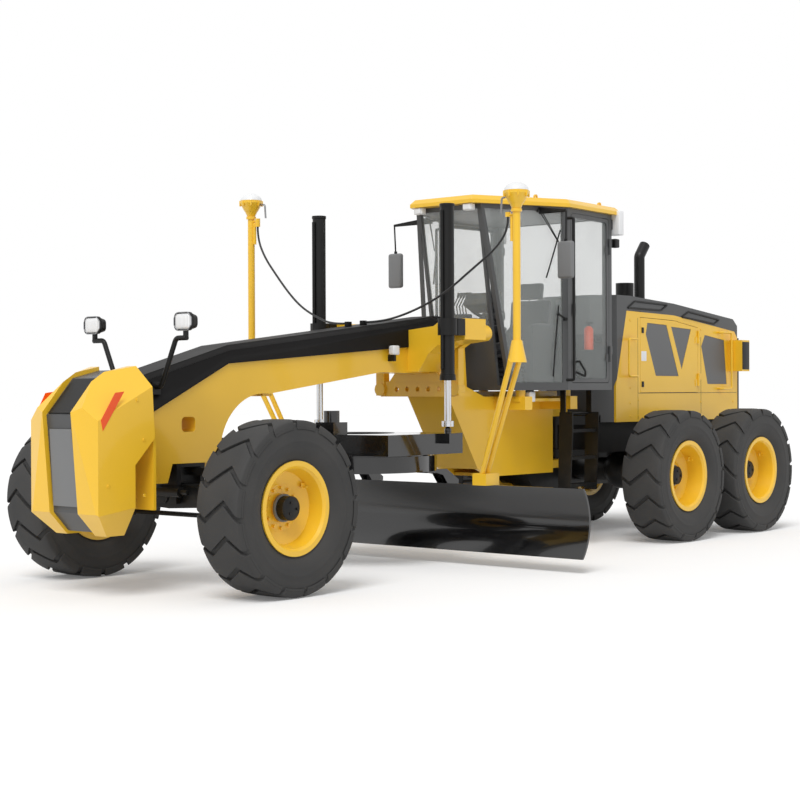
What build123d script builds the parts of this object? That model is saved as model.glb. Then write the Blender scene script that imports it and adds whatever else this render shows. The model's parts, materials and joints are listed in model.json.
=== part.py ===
"""Motor grader: +X forward, +Y left, +Z up, millimetres, origin on the ground below the middle of its length."""
from build123d import *
from math import atan2, cos, degrees, hypot, pi, radians, sin, tan
import os

os.makedirs("parts", exist_ok=True)

# ---- driving sizes ---------------------------------------------------------------------------------
fit_gap = 0.3                   # between pieces that seat on each other
wheelbase = 6600                # front axle to middle of the tandem
tandem_spacing = 1540
tandem_x = -3030
front_axle_x = tandem_x + wheelbase
hitch_x = tandem_x + 1300       # articulation pivot

tyre_radius = 675
tyre_width = 445
bead_radius = 318
rim_lip_radius = 362
rim_width = 356
rim_wall = 14
axle_z = tyre_radius
front_wheel_y = 1152
rear_wheel_y = 1122

beam_half = 165                 # gooseneck half width
cladding_wall = 20
leg_half = 250
nose_x = front_axle_x + 630     # front face of the gooseneck's nose
axle_beam_z = 710

block_front_x = front_axle_x + 1210
block_inner_y = 168
block_outer_y = 450

circle_x = front_axle_x - 2120
circle_radius = 760
circle_wall = 150
circle_top_z = 985
circle_height = 140
drawbar_top_z = 1180
drawbar_half = 780
ball_x = front_axle_x - 320
ball_z = 1020
ball_radius = 70

blade_length = 4270
blade_x = circle_x - 520        # chord of the mouldboard's face
blade_bottom_z = 125
blade_top_z = 724
blade_wall = 24
blade_hollow = 100              # depth of the face behind its chord
rail_z = (300, 560)
mast_y = 1610
mast_foot_y = 1120
mast_tops = {1: 3110, -1: 3270}     # height of each pole

lift_x = tandem_x + 4083
lift_y = 781
lift_bottom_z = 1655
lift_top_z = 3225
lift_barrel_radius = 62
lift_rod_radius = 31
trunnion_z = 2130

cable_radius = 10               # from the blade's masts to the gooseneck
left_clip = (1345, 60, 2184)    # where each cable meets its clip
right_clip = (1470, -60, 2172)

cab_floor_z = 1560
cab_glass_low_z = 1635
cab_eave_z = 3345
cab_roof_z = 3425
cab_post = 60
cab_wall = 40
cab_front_x = tandem_x + 3090
cab_front_half = 400
cab_wide_x = tandem_x + 2220
cab_wide_half = 800
cab_rear_x = tandem_x + 1330
cab_rear_half = 730
cab_sill_x = tandem_x + 2800    # windscreen's foot, behind its head
glass_wall = 8

hood_half = 500
hood_wall = 30
hood_bottom_z = 1220
hood_seam_z = 1530
hood_rear_x = tandem_x - 1700
hood_front_x = tandem_x + 900


def plate_xz(outline, y_low, y_high, mode=Mode.ADD):
    """A plate between two y planes, from (x, z) points."""
    with BuildSketch(Plane.XZ.offset(-y_high)) as face:
        with BuildLine():
            Polyline(*outline, close=True)
        make_face()
    extrude(face.sketch, amount=y_high - y_low, mode=mode)


def plate_yz(outline, x_low, x_high, mode=Mode.ADD):
    """A plate between two x planes, from (y, z) points."""
    with BuildSketch(Plane.YZ.offset(x_low)) as face:
        with BuildLine():
            Polyline(*outline, close=True)
        make_face()
    extrude(face.sketch, amount=x_high - x_low, mode=mode)


def plate_xy(outline, z_low, z_high, mode=Mode.ADD):
    """A plate between two z planes, from (x, y) points."""
    with BuildSketch(Plane.XY.offset(z_low)) as face:
        with BuildLine():
            Polyline(*outline, close=True)
        make_face()
    extrude(face.sketch, amount=z_high - z_low, mode=mode)


def block(x_low, x_high, y_low, y_high, z_low, z_high, mode=Mode.ADD):
    """A block between three pairs of planes."""
    with Locations(((x_low + x_high) / 2, (y_low + y_high) / 2, (z_low + z_high) / 2)):
        Box(x_high - x_low, y_high - y_low, z_high - z_low, mode=mode)


def rod(start, end, radius, mode=Mode.ADD):
    """A round bar between two points."""
    span = Vector(*end) - Vector(*start)
    with BuildSketch(Plane(origin=start, z_dir=span.normalized())) as face:
        Circle(radius)
    extrude(face.sketch, amount=span.length, mode=mode)


def bent_tube(points, bend, radius):
    """A round tube along straight runs joined by arcs."""
    with BuildLine() as route:
        FilletPolyline(*points, radius=bend)
    with BuildSketch(Plane(origin=route.line @ 0, z_dir=route.line % 0)) as face:
        Circle(radius)
    sweep(face.sketch, path=route.line)


def mirrored(outline):
    """Closes an outline of (x, y) points with its mirror image across y = 0."""
    return outline + [(x, -y) for x, y in reversed(outline) if y != 0]


def save(part, label):
    part.label = label
    export_step(part, f"parts/{label}.step")


# ---- wheels ----------------------------------------------------------------------------------------
# name, x, side, y of the wheel's middle
wheels = [("front_left", front_axle_x, 1, front_wheel_y), ("front_right", front_axle_x, -1, front_wheel_y)]
for place, x in (("middle", tandem_x + tandem_spacing / 2), ("rear", tandem_x - tandem_spacing / 2)):
    wheels += [(place + "_left", x, 1, rear_wheel_y), (place + "_right", x, -1, rear_wheel_y)]

front_hub_depth = 140           # hub cap's face inside the rim's lip
rear_hub_depth = 190
hub_radius = 120
disc_wall = 22
stub_radius = 60
tyre_seat = bead_radius + fit_gap


tread_blocks = 16
tread_facets = 24               # flats of the tread, one of them on the ground
shoulder_facets = 12
wall_facets = 10
groove_width = 33
groove_depth = 26
groove_line = [(0, -tyre_width / 2 - 1), (65, -120), (-75, 80), (60, tyre_width / 2 + 1)]   # (along, across)
wall_radius = 530               # widest part of the sidewall
wall_lip_radius = 372           # foot of the sidewall, clear of the rim's lip


def flat_ring(radius, count):
    """Corner radius of a regular polygon whose flats lie at a radius."""
    return radius / cos(pi / count)


def side_ring(y, radius, count):
    """A regular polygon round the wheel's axis, with a flat at the bottom."""
    with BuildSketch(Plane.XZ.offset(-y)) as ring:
        RegularPolygon(radius, count, rotation=90 + 180 / count)
    return ring.sketch


with BuildPart() as tread_groove:
    with BuildSketch(Plane.XY.offset(tyre_radius - groove_depth)) as groove_face:
        with BuildLine():
            Polyline(*[(along + groove_width / 2, across) for along, across in groove_line],
                     *[(along - groove_width / 2, across) for along, across in groove_line[::-1]], close=True)
        make_face()
    extrude(groove_face.sketch, amount=groove_depth + 20)

with BuildPart() as tyre_form:
    half_tread = tyre_width / 2
    foot = rim_width / 2 - rim_wall
    extrude(side_ring(0, flat_ring(tyre_radius, tread_facets), tread_facets), amount=half_tread, both=True)
    for n in range(tread_blocks):
        add(tread_groove.part.rotate(Axis.Y, 360 * n / tread_blocks), mode=Mode.SUBTRACT)
    with BuildPart(mode=Mode.INTERSECT):
        loft([side_ring(y, radius, shoulder_facets) for y, radius in
              ((-half_tread, wall_radius), (-half_tread + 38, tyre_radius + 25), (half_tread - 38, tyre_radius + 25),
               (half_tread, wall_radius))], ruled=True)
    for side in (-1, 1):
        with BuildPart(mode=Mode.SUBTRACT):
            loft([side_ring(side * y, radius, wall_facets) for y, radius in
                  ((foot - fit_gap, flat_ring(wall_lip_radius, wall_facets)), (half_tread, wall_radius - 25),
                   (half_tread + 10, wall_radius))], ruled=True)
    extrude(side_ring(0, flat_ring(tyre_seat, wall_facets), wall_facets), amount=half_tread + 20, both=True,
            mode=Mode.SUBTRACT)


def rim_profile(hub_depth):
    """Half plane section of a dished rim in (across, radius), outer side at positive across."""
    edge = rim_width / 2
    face = edge - hub_depth
    with BuildSketch(Plane.XY) as section:
        with BuildLine():
            Polyline((edge, rim_lip_radius), (edge, bead_radius + 4), (edge - 20, bead_radius - rim_wall),
                     (face + 8, bead_radius - rim_wall - 28), (face - 30, hub_radius + 60),
                     (face - 30, 0), (face - 30 - disc_wall, 0), (face - 30 - disc_wall, hub_radius + 66),
                     (face - 30, bead_radius - rim_wall - 24), (-edge + 20, bead_radius - rim_wall),
                     (-edge, bead_radius + 4), (-edge, rim_lip_radius), (-edge + rim_wall, rim_lip_radius),
                     (-edge + rim_wall, bead_radius), (edge - rim_wall, bead_radius),
                     (edge - rim_wall, rim_lip_radius), close=True)
        make_face()
    return section.sketch


for name, x, side, middle_y in wheels:
    hub_depth = front_hub_depth if name.startswith("front") else rear_hub_depth
    wheel_plane = Plane(origin=(x, side * middle_y, axle_z), x_dir=(0, side, 0), z_dir=(side, 0, 0))
    tread = tyre_form.part if side > 0 else mirror(tyre_form.part, about=Plane.XZ)
    with BuildPart() as tyre:
        add(Location((x, side * middle_y, axle_z)) * tread)
    save(tyre.part, f"tyre_{name}")

    cap_outer = side * (middle_y + rim_width / 2 - hub_depth)
    cap_inner = cap_outer - side * 35
    with BuildPart() as rim:
        revolve(wheel_plane * rim_profile(hub_depth), axis=Axis((x, 0, axle_z), (0, 1, 0)))
        rod((x, cap_inner, axle_z), (x, cap_outer, axle_z), hub_radius * 0.8)
        with BuildSketch(Plane(origin=(x, cap_inner, axle_z), x_dir=(1, 0, 0), z_dir=(0, side, 0))) as studs:
            with PolarLocations(hub_radius + 35, 12):
                Circle(13)
        extrude(studs.sketch, amount=24)
    save(rim.part, f"rim_{name}")

# ---- front axle, lean brackets, knuckles -----------------------------------------------------------
lean_y = 640
lean_bar_z = axle_beam_z + 210
king_pin_y = 860
knuckle_gap = 4
hub_back_y = front_wheel_y + rim_width / 2 - front_hub_depth - 30 - disc_wall
tie_rod_x = front_axle_x - 230
tie_rod_y = 800
tie_rod_z = axle_beam_z - 160   # below the knuckle arms
tie_ball_radius = 24
tie_eye_radius = 36
tie_stub_radius = 12

nose_arch_z = 990               # underside of the frame's nose above the axle
carrier_half = 160
with BuildPart() as front_axle:
    plate_yz([(-lean_y + 74, axle_beam_z - 55), (-lean_y + 74, axle_beam_z + 55), (-200, axle_beam_z + 110),
              (200, axle_beam_z + 110), (lean_y - 74, axle_beam_z + 55), (lean_y - 74, axle_beam_z - 55),
              (0, axle_beam_z - 85)], front_axle_x - 90, front_axle_x + 90)
    for side in (-1, 1):
        rod((front_axle_x - 90, side * lean_y, axle_beam_z), (front_axle_x - 50, side * lean_y, axle_beam_z), 70)
        rod((front_axle_x + 50, side * lean_y, axle_beam_z), (front_axle_x + 90, side * lean_y, axle_beam_z), 70)
        rod((front_axle_x - 110, side * lean_y, axle_beam_z), (front_axle_x + 110, side * lean_y, axle_beam_z), 30)
        y_pair = sorted((side * (lean_y - 76), side * lean_y))
        block(front_axle_x - 90, front_axle_x - 50, *y_pair, axle_beam_z - 55, axle_beam_z + 55)
        block(front_axle_x + 50, front_axle_x + 90, *y_pair, axle_beam_z - 55, axle_beam_z + 55)
    rod((front_axle_x - 160, 0, axle_beam_z + 20), (front_axle_x + 160, 0, axle_beam_z + 20), 60)
    # carrier under the nose, and the short cylinder across its front
    for x in (front_axle_x - 150, front_axle_x + 105):
        plate_yz([(-150, axle_beam_z - 40), (150, axle_beam_z - 40), (carrier_half, nose_arch_z - fit_gap),
                  (-carrier_half, nose_arch_z - fit_gap)], x, x + 45)
    block(front_axle_x - 150, front_axle_x + 150, -carrier_half, carrier_half, nose_arch_z - 30, nose_arch_z - fit_gap)
    rod((front_axle_x + 190, -60, axle_beam_z + 60), (front_axle_x + 190, 250, axle_beam_z + 60), 42)
    rod((front_axle_x + 190, 0, axle_beam_z + 60), (front_axle_x + 190, 330, axle_beam_z + 60), 20)
    block(front_axle_x + 140, front_axle_x + 205, -60, 40, axle_beam_z + 30, axle_beam_z + 90)
save(front_axle.part, "front_axle")

for label, side in (("left", 1), ("right", -1)):
    with BuildPart() as lean_bracket:
        rod((front_axle_x - 45, side * lean_y, axle_beam_z), (front_axle_x + 45, side * lean_y, axle_beam_z), 68)
        plate_yz([(side * (lean_y - 10), axle_beam_z), (side * (lean_y + 50), axle_beam_z - 60),
                  (side * (king_pin_y - 60), axle_beam_z - 60), (side * (king_pin_y - 60), axle_beam_z + 80),
                  (side * (lean_y + 60), lean_bar_z + 30), (side * (lean_y - 30), lean_bar_z + 30)],
                 front_axle_x - 45, front_axle_x + 45)
        rod((front_axle_x - 45, side * lean_y, axle_beam_z), (front_axle_x + 45, side * lean_y, axle_beam_z),
            30 + 0.1, mode=Mode.SUBTRACT)
        rod((front_axle_x - 95, side * lean_y, lean_bar_z), (front_axle_x + 45, side * lean_y, lean_bar_z), 24)
        rod((front_axle_x, side * king_pin_y, axle_beam_z - 60), (front_axle_x, side * king_pin_y, axle_beam_z + 80),
            62)
        rod((front_axle_x, side * king_pin_y, axle_beam_z - 60), (front_axle_x, side * king_pin_y, axle_beam_z + 80),
            32 + 0.1, mode=Mode.SUBTRACT)
    save(lean_bracket.part, f"lean_bracket_{label}")

    with BuildPart() as knuckle:
        rod((front_axle_x, side * king_pin_y, axle_beam_z - 110), (front_axle_x, side * king_pin_y, axle_beam_z + 130),
            32)
        for low, high in ((axle_beam_z - 110, axle_beam_z - 60 - knuckle_gap),
                          (axle_beam_z + 80 + knuckle_gap, axle_beam_z + 130)):
            rod((front_axle_x, side * king_pin_y, low), (front_axle_x, side * king_pin_y, high), 62)
            block(front_axle_x - 45, front_axle_x + 45, *sorted((side * king_pin_y, side * (king_pin_y + 110))), low, high)
        block(front_axle_x - 60, front_axle_x + 60, *sorted((side * (king_pin_y + 68), side * (king_pin_y + 112))),
              axle_beam_z - 110, axle_beam_z + 130)
        rod((front_axle_x, side * (king_pin_y + 100), axle_z), (front_axle_x, side * (hub_back_y - fit_gap), axle_z),
            stub_radius)
        plate_xy([(front_axle_x - 30, side * (king_pin_y - 30)), (tie_rod_x - 30, side * (tie_rod_y - 35)),
                  (tie_rod_x - 30, side * (tie_rod_y + 35)), (front_axle_x - 30, side * (king_pin_y + 60))],
                 axle_beam_z - 110, axle_beam_z - 80)
    save(knuckle.part, f"knuckle_{label}")

with BuildPart() as lean_bar:
    block(front_axle_x - 90, front_axle_x - 50, -lean_y, lean_y, lean_bar_z - 30, lean_bar_z + 30)
    for side in (-1, 1):
        rod((front_axle_x - 90, side * lean_y, lean_bar_z), (front_axle_x - 50, side * lean_y, lean_bar_z), 45)
        rod((front_axle_x - 90, side * lean_y, lean_bar_z), (front_axle_x - 50, side * lean_y, lean_bar_z),
            24 + 0.1, mode=Mode.SUBTRACT)
save(lean_bar.part, "lean_bar")

with BuildPart() as tie_rod_end:
    with Locations((tie_rod_x, tie_rod_y, tie_rod_z)):
        Sphere(tie_ball_radius)
    rod((tie_rod_x, tie_rod_y, tie_rod_z), (tie_rod_x, tie_rod_y, axle_beam_z - 110 - fit_gap), tie_stub_radius)
save(tie_rod_end.part, "tie_rod_end")

with BuildPart() as tie_rod:
    rod((tie_rod_x, -tie_rod_y, tie_rod_z), (tie_rod_x, tie_rod_y - tie_eye_radius + 8, tie_rod_z), 20)
    with Locations((tie_rod_x, tie_rod_y, tie_rod_z), (tie_rod_x, -tie_rod_y, tie_rod_z)):
        Sphere(tie_eye_radius)
    with Locations((tie_rod_x, tie_rod_y, tie_rod_z)):
        Sphere(tie_ball_radius + 0.3, mode=Mode.SUBTRACT)
    rod((tie_rod_x, tie_rod_y, tie_rod_z + 8), (tie_rod_x, tie_rod_y, tie_rod_z + 60), tie_eye_radius - 9, mode=Mode.SUBTRACT)
save(tie_rod.part, "tie_rod")

# ---- front frame: nose, gooseneck, legs under the cab, hitch ---------------------------------------
beam_top = [(nose_x, 1620), (front_axle_x - 410, 1910), (tandem_x + 3460, 2235)]
cladding_low = [(nose_x, 1300), (front_axle_x - 400, 1790), (tandem_x + 3910, 1963)]
leg_top_z = 1500
leg_bottom_z = 720
hitch_lug_z = ((1290, 1370), (760, 840))
hitch_radius = 130
hitch_pin_radius = 45
nose_low_z = 840
nose_flange_half = 430

with BuildPart() as front_frame:
    with BuildSketch(Plane.XZ.offset(-beam_half)) as side_view:
        with BuildLine():
            Polyline((nose_x, nose_low_z), *beam_top, (tandem_x + 3060, 2120), (tandem_x + 3010, leg_top_z))
            Polyline((tandem_x + 3010, leg_top_z), (tandem_x + 2600, leg_top_z), (tandem_x + 2950, 860),
                     (tandem_x + 3560, 1720), (tandem_x + 4280, 1730), (front_axle_x - 880, 1540))
            ThreePointArc((front_axle_x - 880, 1540), (front_axle_x - 540, 1460), (front_axle_x - 330, 1160))
            Polyline((front_axle_x - 330, 1160), (front_axle_x - 200, nose_arch_z), (front_axle_x + 200, nose_arch_z),
                     (front_axle_x + 250, nose_low_z), (nose_x, nose_low_z))
        make_face()
    extrude(side_view.sketch, amount=2 * beam_half)
    # square recess through the nose
    with BuildSketch(Plane.XZ.offset(-beam_half - 1)) as recess:
        with Locations((front_axle_x + 28, 1300)):
            RectangleRounded(145, 120, 34)
    extrude(recess.sketch, amount=2 * beam_half + 2, mode=Mode.SUBTRACT)
    # the two side plates under the cab, and what joins them
    for y in (-leg_half, leg_half - 40):
        plate_xz([(tandem_x + 3560, 1740), (tandem_x + 2960, leg_bottom_z + 80), (tandem_x + 2750, leg_bottom_z),
                  (tandem_x + 1700, leg_bottom_z), (tandem_x + 1700, leg_top_z), (tandem_x + 2860, leg_top_z),
                  (tandem_x + 3420, leg_top_z + 200)],
                 y, y + 40)
    block(tandem_x + 1700, tandem_x + 2750, -leg_half, leg_half, leg_bottom_z, leg_bottom_z + 30)
    block(tandem_x + 1700, tandem_x + 3000, -leg_half, leg_half, leg_top_z - 30, leg_top_z)
    block(tandem_x + 1700, tandem_x + 1740, -leg_half, leg_half, leg_bottom_z, leg_top_z)
    plate_xz([(tandem_x + 3560, 1740), (tandem_x + 2960, leg_bottom_z + 80), (tandem_x + 2925, leg_bottom_z + 110),
              (tandem_x + 3500, 1740)], -leg_half, leg_half)
    for low, high in hitch_lug_z:
        plate_xy([(hitch_x, -hitch_radius), (hitch_x, hitch_radius), (tandem_x + 1720, 240), (tandem_x + 1720, -240)],
                 low, high)
        rod((hitch_x, 0, low), (hitch_x, 0, high), hitch_radius)
        rod((hitch_x, 0, low), (hitch_x, 0, high), hitch_pin_radius + 0.1, mode=Mode.SUBTRACT)
    # cab carriers
    for x in (tandem_x + 1800, tandem_x + 2570):
        block(x, x + 120, -620, 620, leg_top_z - 130, leg_top_z)
        for y in (-520, 520):
            rod((x + 60, y, leg_top_z), (x + 60, y, cab_floor_z - fit_gap), 50)
    block(tandem_x + 1720, tandem_x + 2700, -560, 560, leg_top_z - 50, leg_top_z - 20)
    block(tandem_x + 1740, tandem_x + 2500, -330, 330, leg_top_z - 40, cab_floor_z - 8)
    # socket of the drawbar's ball
    rod((front_axle_x - 260, 0, ball_z), (ball_x + ball_radius + 20, 0, ball_z), 60)
    rod((ball_x + ball_radius + 25, 0, ball_z), (ball_x - 10, 0, ball_z), ball_radius + 22)
    with Locations((ball_x, 0, ball_z)):
        Sphere(ball_radius + 0.1, mode=Mode.SUBTRACT)
    # flange behind the push block, boss under the beam
    block(nose_x - 26, nose_x, -nose_flange_half, nose_flange_half, 660, 1290)
    block(front_axle_x - 1010, front_axle_x - 900, -70, 70, 1520, 1640)
save(front_frame.part, "front_frame")

with BuildPart() as beam_cladding:
    clad_out = beam_half + cladding_wall
    plate_xz([(nose_x, 1300)] + [(nose_x, 1655), (front_axle_x - 410, 1942), (tandem_x + 3460, 2268),
                                 (tandem_x + 2960, 2180), (tandem_x + 2960, 2090), (tandem_x + 3400, 2125), (tandem_x + 3915, 2125)]
             + cladding_low[:0:-1], -clad_out, clad_out)
    roof_faces = beam_cladding.faces().filter_by(lambda face: face.normal_at().Z > 0.5)
    chamfer(roof_faces.edges().filter_by(lambda edge: abs(edge.tangent_at(0.5).Y) < 0.1), 60)
    with BuildSketch(Plane.XZ.offset(-beam_half - fit_gap)) as core:
        with BuildLine():
            Polyline((nose_x + 10, 900), (nose_x + 10, 1616), (nose_x, 1620 + fit_gap),
                     (front_axle_x - 410, 1910 + fit_gap), (tandem_x + 3460, 2235 + fit_gap),
                     (tandem_x + 3060 - fit_gap, 2120 + fit_gap), (tandem_x + 2940, 2100), (tandem_x + 2940, 900),
                     close=True)
        make_face()
    extrude(core.sketch, amount=2 * (beam_half + fit_gap), mode=Mode.SUBTRACT)
    # clips of the mast cables
    for x, y, z in (left_clip, right_clip):
        block(x - 25, x + 25, *sorted((y, y * 0.2)), 2142, z + cable_radius + 6)
save(beam_cladding.part, "beam_cladding")

# ---- push block ------------------------------------------------------------------------------------
block_rear_x = nose_x + fit_gap
fold_y = 400
with BuildPart() as push_block:
    plate_xz([(block_rear_x + 30, 1760), (block_front_x - 250, 1700), (block_front_x, 1411),
              (block_front_x - 64, 650), (block_front_x - 230, 475), (block_front_x - 400, 475),
              (block_front_x - 400, 1010), (block_rear_x, 1210)], block_inner_y, block_outer_y)
    plate_yz([(0, 1760), (block_outer_y, 1760), (block_outer_y, 720), (300, 475), (0, 475)],
             block_rear_x, block_front_x, mode=Mode.INTERSECT)
    plate_xy([(block_rear_x, 0), (block_rear_x, block_outer_y), (block_front_x - 70, fold_y),
              (block_front_x, block_inner_y), (block_front_x, 0)],
             400, 1800, mode=Mode.INTERSECT)
    # shoulder facet through the fold's top, the rear edge and the top corner
    fold_top = Vector(block_front_x - 91, fold_y, 1360)
    rear_top = Vector(block_rear_x, block_outer_y, 1612)
    crown = Vector(block_rear_x + 30, 277, 1754)
    slope = (rear_top - fold_top).cross(crown - fold_top).normalized()
    with BuildSketch(Plane(origin=fold_top, x_dir=(rear_top - fold_top).normalized(), z_dir=slope)) as shoulder_face:
        Rectangle(3000, 3000)
    extrude(shoulder_face.sketch, amount=600, mode=Mode.SUBTRACT)
    mirror(about=Plane.XZ)
save(push_block.part, "push_block")

with BuildPart() as push_block_centre:
    plate_xz([(block_rear_x, 1730), (block_rear_x + 30, 1730), (block_front_x - 290, 1670), (block_front_x - 40, 1390),
              (block_front_x - 104, 650), (block_front_x - 240, 500), (block_front_x - 400, 500),
              (block_front_x - 400, 1010), (block_rear_x, 1210)],
             -block_inner_y + fit_gap, block_inner_y - fit_gap)
save(push_block_centre.part, "push_block_centre")

# ---- headlamps on stalks ---------------------------------------------------------------------------
stalk_x = nose_x - 235
lamp_y = 542
lamp_z = 2100
lamp_width = 200
lamp_height = 142
with BuildPart() as headlamps:
    bent_tube([(stalk_x, clad_out + fit_gap, 1600), (stalk_x, clad_out + 70, 1600), (stalk_x, lamp_y - 110, lamp_z - 125),
               (stalk_x, lamp_y + 12, lamp_z - 125)], 45, 20)
    block(stalk_x - 45, stalk_x + 45, clad_out + fit_gap, clad_out + 18, 1540, 1640)
    block(stalk_x - 16, stalk_x + 16, lamp_y - 14, lamp_y + 14, lamp_z - 130, lamp_z - lamp_height / 2 + 5)
    with BuildSketch(Plane.YZ.offset(stalk_x - 50)) as lamp:
        with Locations((lamp_y, lamp_z)):
            RectangleRounded(lamp_width - 40, lamp_height - 40, 34)
    extrude(lamp.sketch, amount=60, taper=-16)
    with BuildSketch(Plane.YZ.offset(stalk_x + 10)) as bezel:
        with Locations((lamp_y, lamp_z)):
            RectangleRounded(lamp_width, lamp_height, 44)
    extrude(bezel.sketch, amount=22)
    with BuildSketch(Plane.YZ.offset(stalk_x + 25)) as recess:
        with Locations((lamp_y, lamp_z)):
            RectangleRounded(lamp_width - 16, lamp_height - 16, 36)
    extrude(recess.sketch, amount=10, mode=Mode.SUBTRACT)
    mirror(about=Plane.XZ)
save(headlamps.part, "headlamps")

# ---- saddle: shoulders, cranks, link bar -----------------------------------------------------------
shoulder_x = (tandem_x + 3600, tandem_x + 3910)
crank_x = tandem_x + 3500
crank_y = 461
link_z = 1575
side_face = beam_half + fit_gap
with BuildPart() as saddle:
    plate_yz([(side_face, 2120), (side_face, 1735), (300, 1735), (420, 1900), (530, 1975), (lift_y + 60, 2020),
              (lift_y + 60, 2210), (560, 2200), (480, 2150)], *shoulder_x)
    rod((shoulder_x[1], lift_y, trunnion_z), (shoulder_x[1] + 70, lift_y, trunnion_z), 34)
    # crank with its pivot tube and lower eye
    plate_yz([(crank_y - 60, link_z - 60), (crank_y - 45, 1950), (crank_y - 60, 2140), (crank_y, 2200),
              (crank_y + 140, 2110), (crank_y + 140, 2000), (crank_y + 45, 1950), (crank_y + 45, link_z - 60)],
             crank_x, crank_x + 80)
    rod((crank_x - 300, crank_y + 75, 2100), (crank_x + 5, crank_y + 75, 2066), 76)
    rod((crank_x - 10, crank_y - 5, link_z), (crank_x + 90, crank_y - 5, link_z), 62)
    rod((crank_x - 20, crank_y - 15, 2140), (crank_x + 100, crank_y - 15, 2140), 26, mode=Mode.SUBTRACT)
    block(crank_x + 75, shoulder_x[0] + 5, crank_y - 50, crank_y + 130, 2020, 2190)
    mirror(about=Plane.XZ)
    # perforated link bar with its arched web
    block(crank_x + 15, crank_x + 65, -crank_y, crank_y, link_z - 70, link_z + 75)
    plate_yz([(-330, link_z + 70), (-250, 1735), (250, 1735), (330, link_z + 70)], crank_x + 62, crank_x + 92)
    with BuildSketch(Plane.YZ.offset(crank_x)) as holes:
        with Locations(*[(130 * n, link_z) for n in range(-2, 3)]):
            Circle(24)
    extrude(holes.sketch, amount=80, mode=Mode.SUBTRACT)
    with BuildSketch(Plane.XZ.offset(-side_face)) as clear_beam:
        with BuildLine():
            Polyline((tandem_x + 3000, 1720 - fit_gap), (tandem_x + 3560, 1720 - fit_gap),
                     (tandem_x + 4280, 1730 - fit_gap), (tandem_x + 4300, 2400),
                     (tandem_x + 3000, 2400), close=True)
        make_face()
    extrude(clear_beam.sketch, amount=2 * side_face, mode=Mode.SUBTRACT)
save(saddle.part, "saddle")

# ---- lift cylinders --------------------------------------------------------------------------------
yoke_x = (shoulder_x[1] + 5, shoulder_x[1] + 110)
eye_z = drawbar_top_z + 60
for label, side in (("left", 1), ("right", -1)):
    with BuildPart() as lift_cylinder:
        rod((lift_x, side * lift_y, lift_bottom_z), (lift_x, side * lift_y, lift_top_z), lift_barrel_radius)
        block(yoke_x[0], yoke_x[1], side * lift_y - 70, side * lift_y + 70, trunnion_z - 75, trunnion_z + 75)
        rod((lift_x, side * lift_y, trunnion_z - 75), (lift_x, side * lift_y, trunnion_z + 75),
            lift_barrel_radius + 26)
        rod((lift_x + 78, side * lift_y, lift_bottom_z + 100), (lift_x + 78, side * lift_y, lift_top_z - 60), 14)
        rod((lift_x, side * lift_y, lift_bottom_z + 105), (lift_x + 78, side * lift_y, lift_bottom_z + 105), 12)
        rod((lift_x, side * lift_y, lift_top_z - 70), (lift_x + 78, side * lift_y, lift_top_z - 70), 12)
        rod((yoke_x[0], side * lift_y, trunnion_z), (shoulder_x[1] + 74, side * lift_y, trunnion_z), 34 + 0.1,
            mode=Mode.SUBTRACT)
        rod((lift_x, side * lift_y, lift_bottom_z), (lift_x, side * lift_y, lift_top_z - 40), lift_rod_radius + 0.1,
            mode=Mode.SUBTRACT)
    save(lift_cylinder.part, f"lift_cylinder_{label}")

    with BuildPart() as lift_rod:
        rod((lift_x, side * lift_y, eye_z), (lift_x, side * lift_y, lift_top_z - 420), lift_rod_radius)
        rod((lift_x, side * lift_y, eye_z), (lift_x, side * lift_y, eye_z + 50), 55)
    save(lift_rod.part, f"lift_rod_{label}")

# ---- drawbar, circle, blade ------------------------------------------------------------------------
drawbar_low_z = circle_top_z + 12
drawbar_rear_x = tandem_x + 3870
with BuildPart() as drawbar_ball:
    with Locations((ball_x, 0, ball_z)):
        Sphere(ball_radius)
save(drawbar_ball.part, "drawbar_ball")

neck_x = ball_x - ball_radius - 45
with BuildPart() as drawbar:
    plate_xy(mirrored([(neck_x, 90), (circle_x + 480, 300), (circle_x + 420, drawbar_half),
                       (drawbar_rear_x, drawbar_half)]), drawbar_low_z, drawbar_top_z)
    plate_xy([(neck_x - 300, 0), (circle_x + 560, 190), (circle_x + 560, -190)], drawbar_low_z, drawbar_top_z,
             mode=Mode.SUBTRACT)
    block(neck_x - 120, neck_x, -90, 90, ball_z - 60, drawbar_low_z + 20)
    # neck that grips the ball from behind
    rod((ball_x - 20, 0, ball_z), (neck_x - 5, 0, ball_z), 42)
    with Locations((ball_x, 0, ball_z)):
        Sphere(ball_radius + 0.1, mode=Mode.SUBTRACT)
    # hole through which the circle shows
    with Locations((circle_x, 0, (drawbar_low_z + drawbar_top_z) / 2)):
        Cylinder(380, 400, mode=Mode.SUBTRACT)
    # ears with the studs of the lift cylinders
    for side in (-1, 1):
        block(lift_x - 80, lift_x + 80, *sorted((side * (drawbar_half - 90), side * (lift_y + 80))),
              drawbar_top_z - 90, drawbar_top_z)
        rod((lift_x, side * lift_y, drawbar_top_z), (lift_x, side * lift_y, eye_z - 22), 30)
        with Locations((lift_x, side * lift_y, eye_z - fit_gap - 32)):
            Sphere(32)
    # turning drive
    block(circle_x + 440, circle_x + 620, 120, 330, drawbar_top_z, drawbar_top_z + 110)
    rod((circle_x + 530, 225, drawbar_top_z + 110), (circle_x + 530, 225, drawbar_top_z + 210), 70)
save(drawbar.part, "drawbar")

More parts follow.
